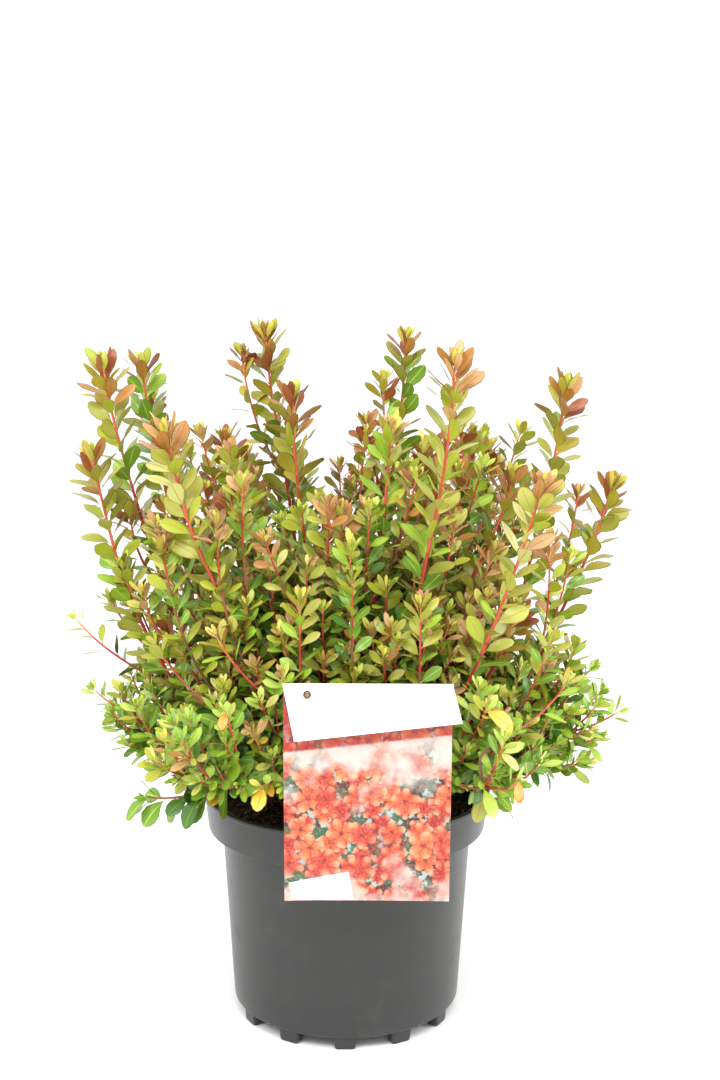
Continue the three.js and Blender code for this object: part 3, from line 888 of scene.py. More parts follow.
@dataclass
class LeafStore:
    """Leaves that are gathered up shoot by shoot, one array to each of their measures."""

    rng: Chance
    _rows: dict[str, list[Points]] = field(default_factory=dict)

    def add(self, **measures: Points) -> None:
        """Adds the leaves of one shoot, each measure by its name."""
        for name, values in measures.items():
            self._rows.setdefault(name, []).append(values)

    def all(self) -> dict[str, Points]:
        """Every leaf's measures."""
        return {name: np.concatenate(values) for name, values in self._rows.items()}

    def dress(self, line: Points, shoot: Shoot, leafy: float, radius: float = 0.0012) -> None:
        """Sets leaves along a shoot, spiralling down from its tip.

        Args:
            line: The shoot, and the twig that it ends, from its foot to its tip.
            shoot: What it is like.
            leafy: How far down from the tip the leaves go.
            radius: The shoot's radius, which the leaves start at.
        """
        habit, bands = shoot.growth.value, shoot.spray.value
        rng = self.rng
        bud_count, bud_length = habit.bud
        rosette_count, rosette_depth = habit.rosette
        bud = (np.arange(bud_count) + 0.5) / bud_count
        rosette = (np.arange(rosette_count) + 0.5) / rosette_count
        grown = np.interp(rosette, (0, 0.7, 1), (bud_length * 1.25, habit.leaf, habit.leaf))
        depths = [*(0.0004 * np.arange(bud_count)), *(0.0018 + rosette_depth * rosette)]
        lengths = [*(bud_length * (0.72 + 0.28 * bud)), *grown]
        spreads = [
            *np.interp(bud, (0, 1), habit.bud_spread),
            *np.interp(rosette, (0, 1), habit.rosette_spread),
        ]
        depth = depths[-1]
        while True:
            share = min(1.0, depth / max(leafy, 0.03))
            depth += np.interp(share, (0, 1), habit.internode) * rng.uniform(0.75, 1.25)
            if depth > leafy:
                break
            depths.append(depth)
            lengths.append(habit.leaf * np.interp(share, (0, 0.5, 1), (1.0, 1.0, 0.86)))
            spreads.append(np.interp(share, (0, 1), habit.stem_spread))
        count = len(depths)
        depths, lengths, spreads = np.array(depths), np.array(lengths), np.array(spreads)
        whole = lengths_along(line)[-1]
        foot, heading = points_at(line, whole - depths)
        turn = rng.uniform(0, 2 * math.pi) + GOLDEN_ANGLE * np.arange(count) + rng.normal(0, 0.22, count)
        reference = np.eye(3)[np.argmin(np.abs(heading.mean(0)))]
        side = across(np.broadcast_to(reference, heading.shape), heading)
        front = np.cross(heading, side)
        outwards = np.cos(turn)[:, None] * side + np.sin(turn)[:, None] * front
        lean = np.radians(spreads * rng.uniform(0.86, 1.14, count) + rng.normal(0, 3, count))[:, None]
        low = np.clip(depths / 0.02, 0, 1)
        stem_leaf = low[:, None]
        way = unit(np.cos(lean) * heading + np.sin(lean) * outwards + habit.lift * stem_leaf * UP)
        inner = across(heading, way)
        light = across(unit(UP + unit(foot * LEVEL)), way)
        turning = habit.light * (0.25 + 0.75 * stem_leaf)
        face = across((1 - turning) * inner + turning * light + rng.normal(0, habit.roll, (count, 3)), way)
        band_of = np.searchsorted([band.depth for band in bands], depths)
        tones = np.zeros(count, int)
        for number, band in enumerate(bands):
            tones[band_of == number] = band.deal(int((band_of == number).sum()), rng)
        length = lengths * shoot.size * rng.uniform(0.86, 1.12, count)
        slimmer = np.interp(np.arange(count), (bud_count, bud_count + rosette_count), (0.74, 1.0))
        self.add(
            foot=foot + radius * 0.6 * outwards,
            way=way,
            face=face,
            length=length,
            width=length * rng.uniform(*habit.slim, count) * slimmer,
            fold=rng.uniform(0.12, 0.42, count) + 0.2 * (1 - low),
            bend=rng.uniform(*habit.droop, count) * (0.35 + 0.65 * low) - 0.25 * (1 - low),
            twist=rng.normal(0, 0.22, count),
            wave=rng.uniform(0, 0.05, count),
            phase=rng.uniform(0, 2 * math.pi, count),
            tone=tones,
            kind=np.full(count, shoot.part.value),
        )

    @staticmethod
    def shapes(leaves: dict[str, Points], pattern: LeafPattern) -> Points:
        """Draws leaves on a pattern.

        Args:
            leaves: The leaves' measures.
            pattern: The grid that each is drawn on.

        Returns:
            The vertices, by leaf, row and column.
        """
        rows, columns = np.array(pattern.rows)[:, None], np.array(pattern.columns)
        foot, way, face = (leaves[name][:, None] for name in ("foot", "way", "face"))
        names = ("bend", "twist", "length", "width", "fold", "phase", "wave")
        bend, twist, length, width, fold, phase, wave = (leaves[name][:, None, None] for name in names)
        bend, twist = bend * rows**1.4, twist * rows
        beside = np.cross(way, face)
        ahead = np.cos(bend) * way - np.sin(bend) * face
        above = np.cos(bend) * face + np.sin(bend) * way
        steps = np.diff(rows, axis=0) * (ahead[:, 1:] + ahead[:, :-1]) / 2
        middle = np.concatenate([np.zeros((len(bend), 1, 3)), np.cumsum(steps, axis=1)], axis=1)
        middle = foot + middle * length
        left = np.cos(twist) * beside + np.sin(twist) * above
        up = np.cos(twist) * above - np.sin(twist) * beside
        half = width / 2 * pattern.half_widths()[:, None]
        reach = np.abs(columns)
        fold = fold * np.clip(1.25 - rows, 0, 1)
        flat = half * columns * np.cos(fold)
        raised = half * (reach * np.sin(fold) - 0.16 * reach**2.5)
        ripple = np.sin(9.0 * rows + (phase + 1.3 * np.sign(columns)))
        raised = raised + wave * width * reach**2 * ripple
        return middle[:, :, None] + flat[..., None] * left[:, :, None] + raised[..., None] * up[:, :, None]


# ---- the plant in the frame


@dataclass
class FramePlant:
    """What the frame says of the plant: its limbs' lines and its masses of foliage."""

    names: list[str] = field(default_factory=lambda: sorted(frame["nodes"]))

    def points(self, node: str) -> Points:
        """The vertices of a solid."""
        return np.array([vertex.co[:] for vertex in frame["nodes"][node].data.vertices])

    def line(self, nodes: Sequence[str], count: int, rising: bool) -> Points:
        """The line through the middle of one long solid, or of two in a row.

        Args:
            nodes: The solids.
            count: How many points the line has.
            rising: Whether it starts at its lower end, and not at the end nearer the stem.

        Returns:
            The line's points.
        """
        points = np.concatenate([self.points(node) for node in nodes])
        first = self.points(nodes[0])
        if len(nodes) > 1:
            axis = unit(points[points[:, 2].argmax()] - first.mean(0))
        else:
            axis = np.linalg.svd(first - first.mean(0), full_matrices=False)[2][0]
        along = (points - points.mean(0)) @ axis
        weights = np.where(np.arange(len(points)) < len(first), 3.0, 1.0)
        fits = [np.polyfit(along, points[:, k], 2, w=weights) for k in range(3)]
        steps = np.linspace(along.min(), along.max(), count)
        line = np.stack([np.polyval(fit, steps) for fit in fits], axis=-1)
        start, end = line[[0, -1], 2] if rising else np.hypot(*line[[0, -1], :2].T)
        return line if start < end else line[::-1]

    def nodes(self, mark: str) -> list[str]:
        """The solids that have a mark in their names."""
        return [name for name in self.names if mark in name]

    def outside(self, count: int, rng: Chance) -> tuple[Points, Points]:
        """Places on the outside of the dome.

        Args:
            count: How many places are tried.
            rng: The source of chance.

        Returns:
            The places that lie outside, and the way that each faces.
        """
        masses = []
        for name in self.nodes("_foliage_"):
            mesh = frame["nodes"][name].data
            mesh.calc_loop_triangles()
            points = self.points(name)
            faces = np.array([triangle.vertices[:] for triangle in mesh.loop_triangles])
            one, two, three = np.moveaxis(points[faces], 1, 0)
            areas = np.linalg.norm(np.cross(two - one, three - one), axis=1) / 2
            masses.append((points[faces], areas, BVHTree.FromPolygons(points.tolist(), faces.tolist())))
        total = sum(areas.sum() for _, areas, _ in masses)
        places, facing = [], []
        heart = Vector((0, 0, 0.2))
        for corners, areas, own in masses:
            others = [tree for _, _, tree in masses if tree is not own]
            picked = rng.choice(len(areas), int(count * areas.sum() / total), p=areas / areas.sum())
            one, two, three = np.moveaxis(corners[picked], 1, 0)
            first, second = rng.random((2, len(picked), 1))
            over = first + second > 1
            first, second = np.where(over, 1 - first, first), np.where(over, 1 - second, second)
            spots = one + first * (two - one) + second * (three - one)
            ways = unit(np.cross(two - one, three - one))
            for spot, way in zip(spots, ways):
                here = Vector(spot)
                if any(tree.find_nearest(here)[3] < 0.005 for tree in others):
                    continue
                out = (here - heart).normalized()
                if any(tree.ray_cast(here + out * 0.002, out)[0] is not None for tree in others):
                    continue
                places.append(spot)
                facing.append(way)
        return np.array(places), np.array(facing)


def spread_out(points: Points, gap: float | Points, rng: Chance, taken: Sequence[Points] = ()) -> Points:
    """Picks points that lie no nearer to each other than a gap.

    Args:
        points: The points to pick from.
        gap: The gap, or the gap that each point asks for.
        rng: The source of chance.
        taken: Points that are there already.

    Returns:
        The places of the picked points in the list.
    """
    gaps = np.broadcast_to(gap, (len(points),))
    kept_points = list(taken)
    kept = []
    for index in rng.permutation(len(points)):
        away = np.linalg.norm(np.reshape(kept_points, (-1, 3)) - points[index], axis=1)
        if away.min(initial=FAR) >= gaps[index]:
            kept_points.append(points[index])
            kept.append(index)
    return np.array(kept)


# ---- twigs


@dataclass
class Limb:
    """A twig and the shoot that it ends in.

    Attributes:
        line: Its points from the wood that it grows on to its tip.
        shoot_from: The length along it at which the shoot starts.
        parent: The limb that it grows on, or -1 for a bough or a cane.
        load: How many shoots it feeds.
    """

    line: Points
    shoot_from: float
    parent: int
    load: int = 1

    def radii(self) -> Points:
        """The radius at each point, thinner the fewer shoots are fed."""
        along = lengths_along(self.line)
        foot = min(0.00092 * self.load**0.32, 0.0022)
        middle = max(0.0010, 0.62 * foot)
        return np.interp(along, (0, self.shoot_from, along[-1]), (foot, middle, 0.0006))


@dataclass
class TwigNet:
    """Joins every shoot to the wood by the cheapest way: near by, and not far from the root.

    Attributes:
        way_home: What a metre of the way back to the root costs, beside a metre of new twig.
        bending: What turning away from the parent costs.
        swerving: What arriving askew at the shoot costs.
        step: The distance between the places that a twig may grow from.
    """

    way_home: float = 0.24
    bending: float = 0.7
    swerving: float = 1.1
    step: float = 0.006
    limbs: list[Limb] = field(default_factory=list)
    _rows: list[tuple[Points, ...]] = field(default_factory=list)

    def _sample(self, line: Points, home: float, owner: int, until: float) -> tuple[Points, ...]:
        """Adds a line's places to the net.

        Args:
            line: The line's points.
            home: How far its foot is from the root.
            owner: The limb that it is, or -1.
            until: The length along it that places are taken to.

        Returns:
            The places, the headings, the ways home and the owners that were added.
        """
        whole = min(lengths_along(line)[-1], until)
        lengths = np.arange(self.step, whole, self.step)
        places, headings = points_at(line, lengths)
        self._rows.append((places, headings, home + lengths, np.full(len(lengths), owner)))
        return self._rows[-1]

    def add_wood(self, line: Points, home: float, until: float = FAR) -> None:
        """Adds a bough or a cane that twigs may grow on."""
        self._sample(line, home, -1, until)

    def join(self, shoots: Sequence[Points]) -> list[Limb]:
        """Grows a twig to every shoot.

        Args:
            shoots: The lines of the shoots, each from its foot to its tip.

        Returns:
            The limb that each shoot became the end of.
        """
        feet = np.array([shoot[0] for shoot in shoots])
        ways = unit(np.array([shoot[1] - shoot[0] for shoot in shoots]))
        cost = np.full(len(shoots), np.inf)
        source = np.full(len(shoots), -1)

        def offer(places: Points, headings: Points, homes: Points, first: int) -> None:
            """Lets every shoot weigh up new places to grow from."""
            gaps = feet[None] - places[:, None]
            far = np.linalg.norm(gaps, axis=2)
            heading = gaps / np.maximum(far, 1e-6)[..., None]
            turn = 1 - (heading * headings[:, None]).sum(-1)
            swerve = 1 - (heading * ways[None]).sum(-1)
            price = far * (1 + self.bending * turn + self.swerving * swerve) + self.way_home * homes[:, None]
            best = price.argmin(0)
            lowest = price[best, np.arange(len(feet))]
            better = lowest < cost
            cost[better] = lowest[better]
            source[better] = first + best[better]

        every = [np.concatenate(rows) for rows in zip(*self._rows)]
        offer(*every[:3], 0)
        waiting = np.ones(len(shoots), bool)
        made: dict[int, int] = {}
        while waiting.any():
            index = int(np.where(waiting, cost, np.inf).argmin())
            waiting[index] = False
            start, heading, home, owner = (rows[source[index]] for rows in every)
            gap = feet[index] - start
            far = float(np.linalg.norm(gap))
            leaving = unit(0.5 * heading + 0.5 * unit(gap)) * far
            arriving = ways[index] * far
            count = max(3, int(far / 0.007) + 2)
            twig = hermite(start, leaving, feet[index], arriving, count)
            line = np.concatenate([twig[:-1], shoots[index]])
            shoot_from = lengths_along(twig)[-1]
            made[index] = len(self.limbs)
            self.limbs.append(Limb(line, shoot_from, owner))
            grown = lengths_along(shoots[index])[-1]
            new = self._sample(line, home, made[index], shoot_from + 0.35 * grown)
            if len(new[0]):
                offer(*new[:3], len(every[0]))
                every = [np.concatenate(rows) for rows in zip(every, new)]
            cost[~waiting] = -np.inf
        for limb in reversed(self.limbs):
            if limb.parent >= 0:
                self.limbs[limb.parent].load += limb.load
        return [self.limbs[made[index]] for index in range(len(shoots))]


# ---- crown


def no_leaf_zone(points: Points, window: bool) -> Points:
    """Where no leaf may be.

    Args:
        points: Places on leaves.
        window: Whether the space over the front of the rim is kept open too.

    Returns:
        For each, whether it lies in or before the label, in the pot's wall or in the compost.
    """
    x, y, z = np.moveaxis(points, -1, 0)
    radius = np.hypot(x, y)
    inside, outside, lip = 0.0925, 0.1035, 0.1635
    low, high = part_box("label")
    beside = (x > low[0] - 0.003) & (x < high[0] + 0.003) & (z > low[2] - 0.01)
    label = beside & (z < high[2] + 0.002) & (y < high[1] + 0.003)
    top = beside & (z < high[2] + 0.03) & (y < -0.122)
    wall = (radius < outside) & (radius > inside) & (z < lip)
    compost = (radius <= inside) & (z < lip - 0.01)
    front = (y < -0.015) & (np.abs(x) < 0.110) & (z < 0.185) & window
    return label | top | wall | compost | front


@dataclass(frozen=True)
class ExtraShoot:
    """A shoot that the frame has no solid for: its kind, and the millimetres of its foot and its tip."""

    growth: Growth
    spray: Spray
    place: tuple[int, ...]


UPPER_SPRAYS = (Spray.BRONZED, Spray.WARM, Spray.OLIVED, Spray.GILDED, Spray.BLUSHED)


def shoots_of(growth: Growth, spray: Spray, *places: tuple[int, ...]) -> tuple[ExtraShoot, ...]:
    """Extra shoots of one kind."""
    return tuple(ExtraShoot(growth, spray, place) for place in places)


@dataclass
class Crown:
    """The canes, the shoots and the leaves.

    Attributes:
        gap: The distance between the tips of the dome's shoots.
        inner_gap: The same of the shoots inside it.
        inner_depths: How deep under the outside the tips of each layer of those lie.
        upper_gap: The distance between the shoots that stand between the canes.
        upper: The least and the greatest height that these reach over the dome.
        upper_mix: The shares of bronzed, warm, olive, gilded and blushed ones among them.
        shoot: The least and the greatest length of a dome shoot.
        upper_from: The height that the dome has where they stand.
        lowest: The least height at which a dome shoot ends.
        window: The space in front over the rim where none ends: its back, half its width, its top.
        cane_base: The height and the distance from the axis at which the canes start.
        cane_radii: A cane's radius at its foot, where it leaves the dome, and at its tip.
        cane_sprays: How the tones run on the canes that aren't bronzed.
        low: The height that twigs over the rim keep near to.
        extra: Shoots between the canes and the dome, and strays round its rim.
        old_leaves: Where single old leaves hang, their tones and their lengths, in millimetres.
    """

    plant: FramePlant
    gap: float = 0.0162
    inner_gap: float = 0.0240
    inner_depths: tuple[float, ...] = (0.030, 0.060)
    upper_gap: float = 0.0230
    upper: Pair = (0.024, 0.098)
    upper_mix: tuple[float, ...] = (0.20, 0.26, 0.34, 0.10, 0.10)
    shoot: Pair = (0.034, 0.062)
    upper_from: float = 0.235
    lowest: float = 0.166
    window: Triple = (-0.02, 0.128, 0.200)
    cane_base: Pair = (0.176, 0.014)
    cane_radii: Triple = (0.0019, 0.0013, 0.0008)
    cane_sprays: dict[str, Spray] = field(
        default_factory=lambda: {
            "tall_right": Spray.GILDED,
            "left_pair": Spray.GILDED,
            "front_right": Spray.BLUSHED,
            "front_left": Spray.BLUSHED,
            "inner_front": Spray.WARM,
            "low_front": Spray.BLUSHED,
        }
    )
    extra: tuple[ExtraShoot, ...] = (
        *shoots_of(Growth.SPUR, Spray.GILDED, (-116, 60, 312, -144, 80, 436), (31, 20, 400, 25, 20, 454)),
        *shoots_of(Growth.SPUR, Spray.WARM, (-51, -80, 279, -66, -80, 395), (-100, 80, 290, -126, 104, 372),
            (-85, -80, 250, -118, -88, 357), (-12, -60, 265, -15, -60, 352), (45, -90, 236, 47, -100, 320),
            (-28, -90, 240, -29, -100, 323), (-118, -60, 279, -135, -60, 317),
            (102, -50, 264, 116, -50, 315)),
        *shoots_of(Growth.SPUR, Spray.BLUSHED, (120, -60, 255, 132, -60, 355), (-2, -76, 272, -3, -70, 376),
            (-98, 20, 300, -120, 20, 418), (-60, -85, 262, -83, -90, 372)),
        *shoots_of(Growth.SPUR, Spray.BRONZED, (-2, 70, 300, -7, 100, 383), (150, 60, 290, 172, 90, 364),
            (-46, 35, 380, -76, 36, 470), (72, 20, 320, 80, 30, 420), (86, 90, 290, 112, 110, 385),
            (4, 110, 280, 6, 140, 372), (-75, -30, 275, -94, -30, 383), (16, 0, 315, 13, 0, 417),
            (45, 30, 300, 52, 30, 402), (66, 0, 290, 76, 0, 393), (90, 60, 300, 103, 75, 400),
            (31, 10, 360, 12, 10, 422), (-137, 0, 314, -151, 0, 365), (98, 0, 266, 107, 0, 318)),
        *shoots_of(Growth.SPUR, Spray.OLIVED, (122, -20, 250, 152, -20, 335), (4, -90, 250, 4, -100, 337),
            (-112, -15, 240, -146, -20, 310), (-132, -30, 286, -153, -30, 330), (-140, 0, 262, -167, 0, 302),
            (139, -20, 234, 158, -20, 273)),
        *shoots_of(Growth.THIN, Spray.OLIVED, (-122, -10, 236, -192, -2, 286)),
        *shoots_of(Growth.THIN, Spray.SHADED, (-118, -20, 204, -176, -24, 240)),
        *shoots_of(Growth.SKIRT, Spray.SHADED, (-112, -34, 190, -156, -36, 206), (130, 4, 184, 186, 2, 202),
            (94, -40, 178, 126, -50, 166)),
        *shoots_of(Growth.SKIRT, Spray.SAPPY, (122, 0, 214, 176, 2, 252), (118, -26, 184, 174, -24, 190),
            (136, -10, 194, 174, -10, 198), (122, -40, 199, 147, -40, 193)),
        *shoots_of(Growth.THIN, Spray.SAPPY, (126, -6, 196, 195, 0, 219)),
        *shoots_of(Growth.RIM, Spray.INNER, (-73, -78, 186, -136, -76, 179), (-66, -84, 190, -102, -92, 186)),
        *shoots_of(Growth.RIM, Spray.SAPPY, (74, -70, 190, 104, -98, 184)),
        *shoots_of(Growth.STRAY, Spray.OLIVED, (-36, -112, 214, -128, -84, 290),
            (86, -130, 226, 150, -58, 258)),
        *shoots_of(Growth.STRAY, Spray.WARM, (-44, -104, 250, -84, -98, 296)),
    )
    old_leaves: tuple[tuple[tuple[int, int, int], Tone, int], ...] = (
        ((-75, -144, 260), T.OLD_YELLOW, 24),
        ((-68, -142, 256), T.OLD_ORANGE, 12),
        ((-80, -105, 182), T.OLD_YELLOW, 18),
        ((-54, -120, 190), T.OLD_YELLOW, 18),
        ((-95, -100, 173), T.DEEP, 24),
        ((-122, -80, 177), T.MID, 23),
        ((-112, -80, 188), T.MID, 21),
        ((-111, -82, 172), T.DEEP, 21),
        ((-93, -92, 182), T.MID, 22),
        ((-134, -80, 182), T.MID, 22),
        ((95, -125, 192), T.LIGHT, 21),
        ((110, -100, 180), T.SAGE, 22),
        ((119, -120, 210), T.OLD_ORANGE, 15),
        ((106, -130, 206), T.OLD_ORANGE, 13),
        ((97, -140, 225), T.PALE, 18),
        ((76, -132, 249), T.OLD_YELLOW, 22),
        ((103, -100, 265), T.PEACH, 20),
        ((-60, 100, 230), T.OLD_YELLOW, 20),
        ((80, 100, 200), T.OLD_ORANGE, 18),
    )
    low: float = 0.183

    def __post_init__(self) -> None:
        """Sets up the sources of chance, the leaf store and the twig net."""
        self.rng = np.random.default_rng([SEED, 1])
        self.leaves = LeafStore(np.random.default_rng([SEED, 2]))
        self.net = TwigNet()
        self.canes: dict[str, Points] = {}
        self.cane_roots: dict[str, float] = {}

    def grow(self) -> None:
        """Grows the canes, then all other shoots, the twigs that join them, and their leaves."""
        self._grow_canes()
        for bough in self.plant.nodes("_bough_"):
            self.net.add_wood(self.plant.line([bough], 24, False), 0.02)
        for name, cane in self.canes.items():
            self.net.add_wood(cane, 0.03, self.cane_roots[name] * 1.1)
        outside = self.plant.outside(6000, self.rng)
        cane_points = np.concatenate([cane[::2] for cane in self.canes.values()])
        shoots = [self._extra_shoot(extra) for extra in self.extra]
        shoots += self._upper_shoots(*outside, cane_points)
        shoots += self._dome_shoots(*outside, cane_points)
        limbs = self.net.join([shoot.line for shoot in shoots])
        for shoot, limb in zip(shoots, limbs):
            self._lift(limb, shoot.part is Part.RIM)
            leafy = max(lengths_along(shoot.line)[-1] - shoot.bare, 0.012)
            self.leaves.dress(limb.line, shoot, leafy)

    def _lift(self, limb: Limb, hangs: bool) -> None:
        """Raises a twig where it would sag on to the rim.

        Args:
            limb: The twig with its shoot.
            hangs: Whether the shoot hangs over the rim, so that only the twig's foot is raised.
        """
        line = limb.line
        over = np.clip((np.hypot(line[:, 0], line[:, 1]) - 0.045) / 0.035, 0, 1)
        if hangs:
            over = over * np.clip(1 - lengths_along(line) / limb.shoot_from, 0, 1)
        in_front = np.clip((-line[:, 1] - 0.01) / 0.03, 0, 1)
        in_front = in_front * np.clip((0.14 - np.abs(line[:, 0])) / 0.02, 0, 1)
        line[:, 2] += over * 0.85 * np.maximum(0, self.low + 0.016 * in_front - line[:, 2])

    def _grow_canes(self) -> None:
        """Follows each cane of the frame down into the dome to its foot near the stem."""
        height, radius = self.cane_base
        for node in self.plant.nodes("_cane"):
            name = node.removesuffix("_cane")
            upper = self.plant.line([node, f"{name}_plume"], 40, True)
            outwards = unit(upper[0] * LEVEL)
            spread = float(np.hypot(upper[0, 0], upper[0, 1]))
            foot = outwards * radius + np.array([0.002, 0, height + self.rng.uniform(-0.006, 0.010)])
            heading = unit(upper[1] - upper[0])
            far = float(np.linalg.norm(upper[0] - foot))
            start = unit(outwards * (0.5 + spread * 6) + UP) * far * 0.9
            lower = hermite(foot, start, upper[0], heading * far * 0.95, 28)
            line = np.concatenate([lower[:-1], upper])
            whole = lengths_along(line)
            line = line[whole < whole[-1] - 0.006]
            along = lengths_along(line)[:, None]
            sway = np.sin(along / self.rng.uniform(0.022, 0.034, 3) + self.rng.uniform(0, 6, 3)) * 0.0011
            line = line + sway * np.clip(along / 0.1, 0, 1)
            self.canes[name] = line
            self.cane_roots[name] = lengths_along(lower)[-1]
            leafy = lengths_along(line)[-1] - self.cane_roots[name] * 0.5
            spray = self.cane_sprays.get(name, Spray.BRONZED)
            shoot = Shoot(line, Growth.CANE, spray, Part.CANES, self.rng.uniform(0.94, 1.06))
            self.leaves.dress(line, shoot, leafy, 0.0013)

    def _extra_shoot(self, extra: ExtraShoot) -> Shoot:
        """One of the shoots that the frame has no solid for.

        Args:
            extra: Where it is and what it is like.

        Returns:
            The shoot.
        """
        foot, tip = np.array(extra.place).reshape(2, 3) * MM
        chord = tip - foot
        far = float(np.linalg.norm(chord))
        outwards = unit(chord * LEVEL + 1e-6)
        leaving = unit(unit(chord) + 0.35 * outwards - 0.1 * UP) * far
        arriving = unit(unit(chord) - 0.15 * outwards + 0.35 * UP) * far
        line = hermite(foot, leaving, tip, arriving, 16)
        line = line[lengths_along(line) < lengths_along(line)[-1] - 0.004]
        part = {Growth.SPUR: Part.CANES, Growth.RIM: Part.RIM}.get(extra.growth, Part.DOME)
        bare = 0.5 * far if extra.growth is Growth.STRAY else 0.004
        return Shoot(line, extra.growth, extra.spray, part, bare=bare)

    def _upper_shoots(self, places: Points, facing: Points, canes: Points) -> list[Shoot]:
        """Shoots that stand out of the top and the flanks of the dome, between the canes.

        Args:
            places: Places on the outside of the dome.
            facing: The way that it faces at each.
            canes: Points on the canes.

        Returns:
            The shoots.
        """
        rng = self.rng
        open_places = (places[:, 2] > self.upper_from) & (facing[:, 2] > -0.1)
        places, facing = places[open_places], facing[open_places]
        shoots = []
        for index in spread_out(places, self.upper_gap, rng):
            place, face = places[index], facing[index]
            flank = np.clip(np.hypot(place[0], place[1]) / 0.12, 0, 1)
            middle = math.exp(-((place[0] - 0.005) ** 2) / 0.0018)
            rise = rng.uniform(*self.upper) * (1.0 - 0.4 * middle) * (1.0 - 0.25 * (place[1] < -0.04))
            out = unit(place * LEVEL)
            way = unit(UP + out * (0.10 + 0.38 * flank) + rng.normal(0, 0.10, 3))
            tip = place + way * rise
            foot = place - unit(way + 0.3 * out) * 0.034
            room = 0.26 * (tip[2] - 0.25)
            beyond = not (-0.118 - room < tip[0] < 0.130 + room and -0.100 < tip[1] < 0.118 + room)
            if beyond or np.linalg.norm(canes - tip, axis=1).min() < 0.012:
                continue
            far = float(np.linalg.norm(tip - foot))
            line = hermite(foot, unit(way + 0.35 * out) * far, tip, unit(way + 0.15 * UP) * far, 14)
            spray = UPPER_SPRAYS[rng.choice(5, p=self.upper_mix)]
            shoots.append(Shoot(line, Growth.SPUR, spray, Part.UPPER, rng.uniform(0.88, 1.05)))
        LOG.info("%d shoots stand between the canes", len(shoots))
        return shoots

    def _dome_shoots(self, places: Points, facing: Points, canes: Points) -> list[Shoot]:
        """The shoots that end on the outside of the dome, and those inside it.

        Args:
            places: Places on the outside of the dome.
            facing: The way that it faces at each.
            canes: Points on the canes.

        Returns:
            The shoots.
        """
        rng = self.rng
        clear = np.array([np.linalg.norm(canes - place, axis=1).min() > 0.008 for place in places])
        x, y, z = places.T
        back, half_width, top = self.window
        clear &= (z > self.lowest) & ~((y < back) & (np.abs(x) < half_width) & (z < top))
        places, facing = places[clear], facing[clear]
        gaps = np.where(facing[:, 2] < -0.35, self.gap * 1.3, self.gap)
        tips = np.array([extra.place[3:] for extra in self.extra]) * MM
        outer = spread_out(places, gaps, rng, tips)
        shoots = [self._dome_shoot(places[k], facing[k]) for k in outer]
        for depth in self.inner_depths:
            inner = spread_out(places, self.inner_gap, rng)
            shoots += [self._inner_shoot(places[k], depth) for k in inner]
        LOG.info("the dome has %d shoots outside and %d inside", len(outer), len(shoots) - len(outer))
        return shoots

    def _aim(self, place: Points, face: Points) -> tuple[Points, Points, Points]:
        """The ways that a shoot of the dome points.

        Args:
            place: Where it ends.
            face: The way that the dome faces there.

        Returns:
            Its way at its tip, its way at its foot, and the way out from the heart.
        """
        out = unit(place - np.array([0, 0, 0.13]))
        rise = np.interp(face[2], (-1, -0.4, 0.1, 1), (0.05, 0.25, 0.62, 1.25))
        tip_way = unit(out * 0.8 + UP * rise + face * 0.25 + self.rng.normal(0, 0.16, 3))
        foot_way = unit(out * 0.95 + UP * rise * 0.35 + face * 0.15 + self.rng.normal(0, 0.10, 3))
        return tip_way, foot_way, out

    def _dome_shoot(self, place: Points, face: Points) -> Shoot:
        """A shoot with its tip on the outside of the dome.

        Args:
            place: Where its leaves end.
            face: The way that the dome faces there.

        Returns:
            The shoot.
        """
        rng = self.rng
        tip_way, foot_way, _ = self._aim(place, face)
        tip = place - tip_way * rng.uniform(0.002, 0.018)
        far = rng.uniform(*self.shoot)
        foot = tip - unit(tip_way + foot_way) * far
        line = hermite(foot, foot_way * far, tip, tip_way * far, 10)
        low = place[2] < 0.225 or face[2] < -0.2
        growth = Growth.SKIRT if low else Growth.DOME
        spray, size = self._spray_at(place), rng.uniform(0.86, 1.1)
        return Shoot(line, growth, spray, Part.DOME, size, rng.uniform(-0.008, 0.008))

    def _inner_shoot(self, place: Points, depth: float) -> Shoot:
        """A shoot inside the dome, with plainer leaves.

        Args:
            place: A place on the outside of the dome.
            depth: How far inside it the shoot's tip lies.

        Returns:
            The shoot.
        """
        rng = self.rng
        tip_way, foot_way, out = self._aim(place, UP * 0.2)
        tip = place - out * (depth + rng.uniform(-0.008, 0.008))
        far = 0.036
        line = hermite(tip - unit(tip_way + foot_way) * far, foot_way * far, tip, tip_way * far, 7)
        return Shoot(line, Growth.INNER, Spray.INNER, Part.INNER, rng.uniform(0.9, 1.15), -0.012)

    def _spray_at(self, place: Points) -> Spray:
        """Chooses how the tones run on a dome shoot, warmer the higher and greener the lower it is; the
        darker greens low down are painted shade under the dome.

        Args:
            place: Where the shoot is.

        Returns:
            The run of its tones.
        """
        height = place[2] + self.rng.normal(0, 0.022)
        chance = self.rng.random()
        if height > 0.285:
            return Spray.WARM if chance < 0.5 else Spray.OLIVED
        if height > 0.235:
            return Spray.WARM if chance < 0.15 else Spray.OLIVED if chance < 0.55 else Spray.SAPPY
        # Low on the dome most shoots take the shaded spray, whose darker greens are painted shade.
        return Spray.SAPPY if chance < 0.22 else Spray.SHADED

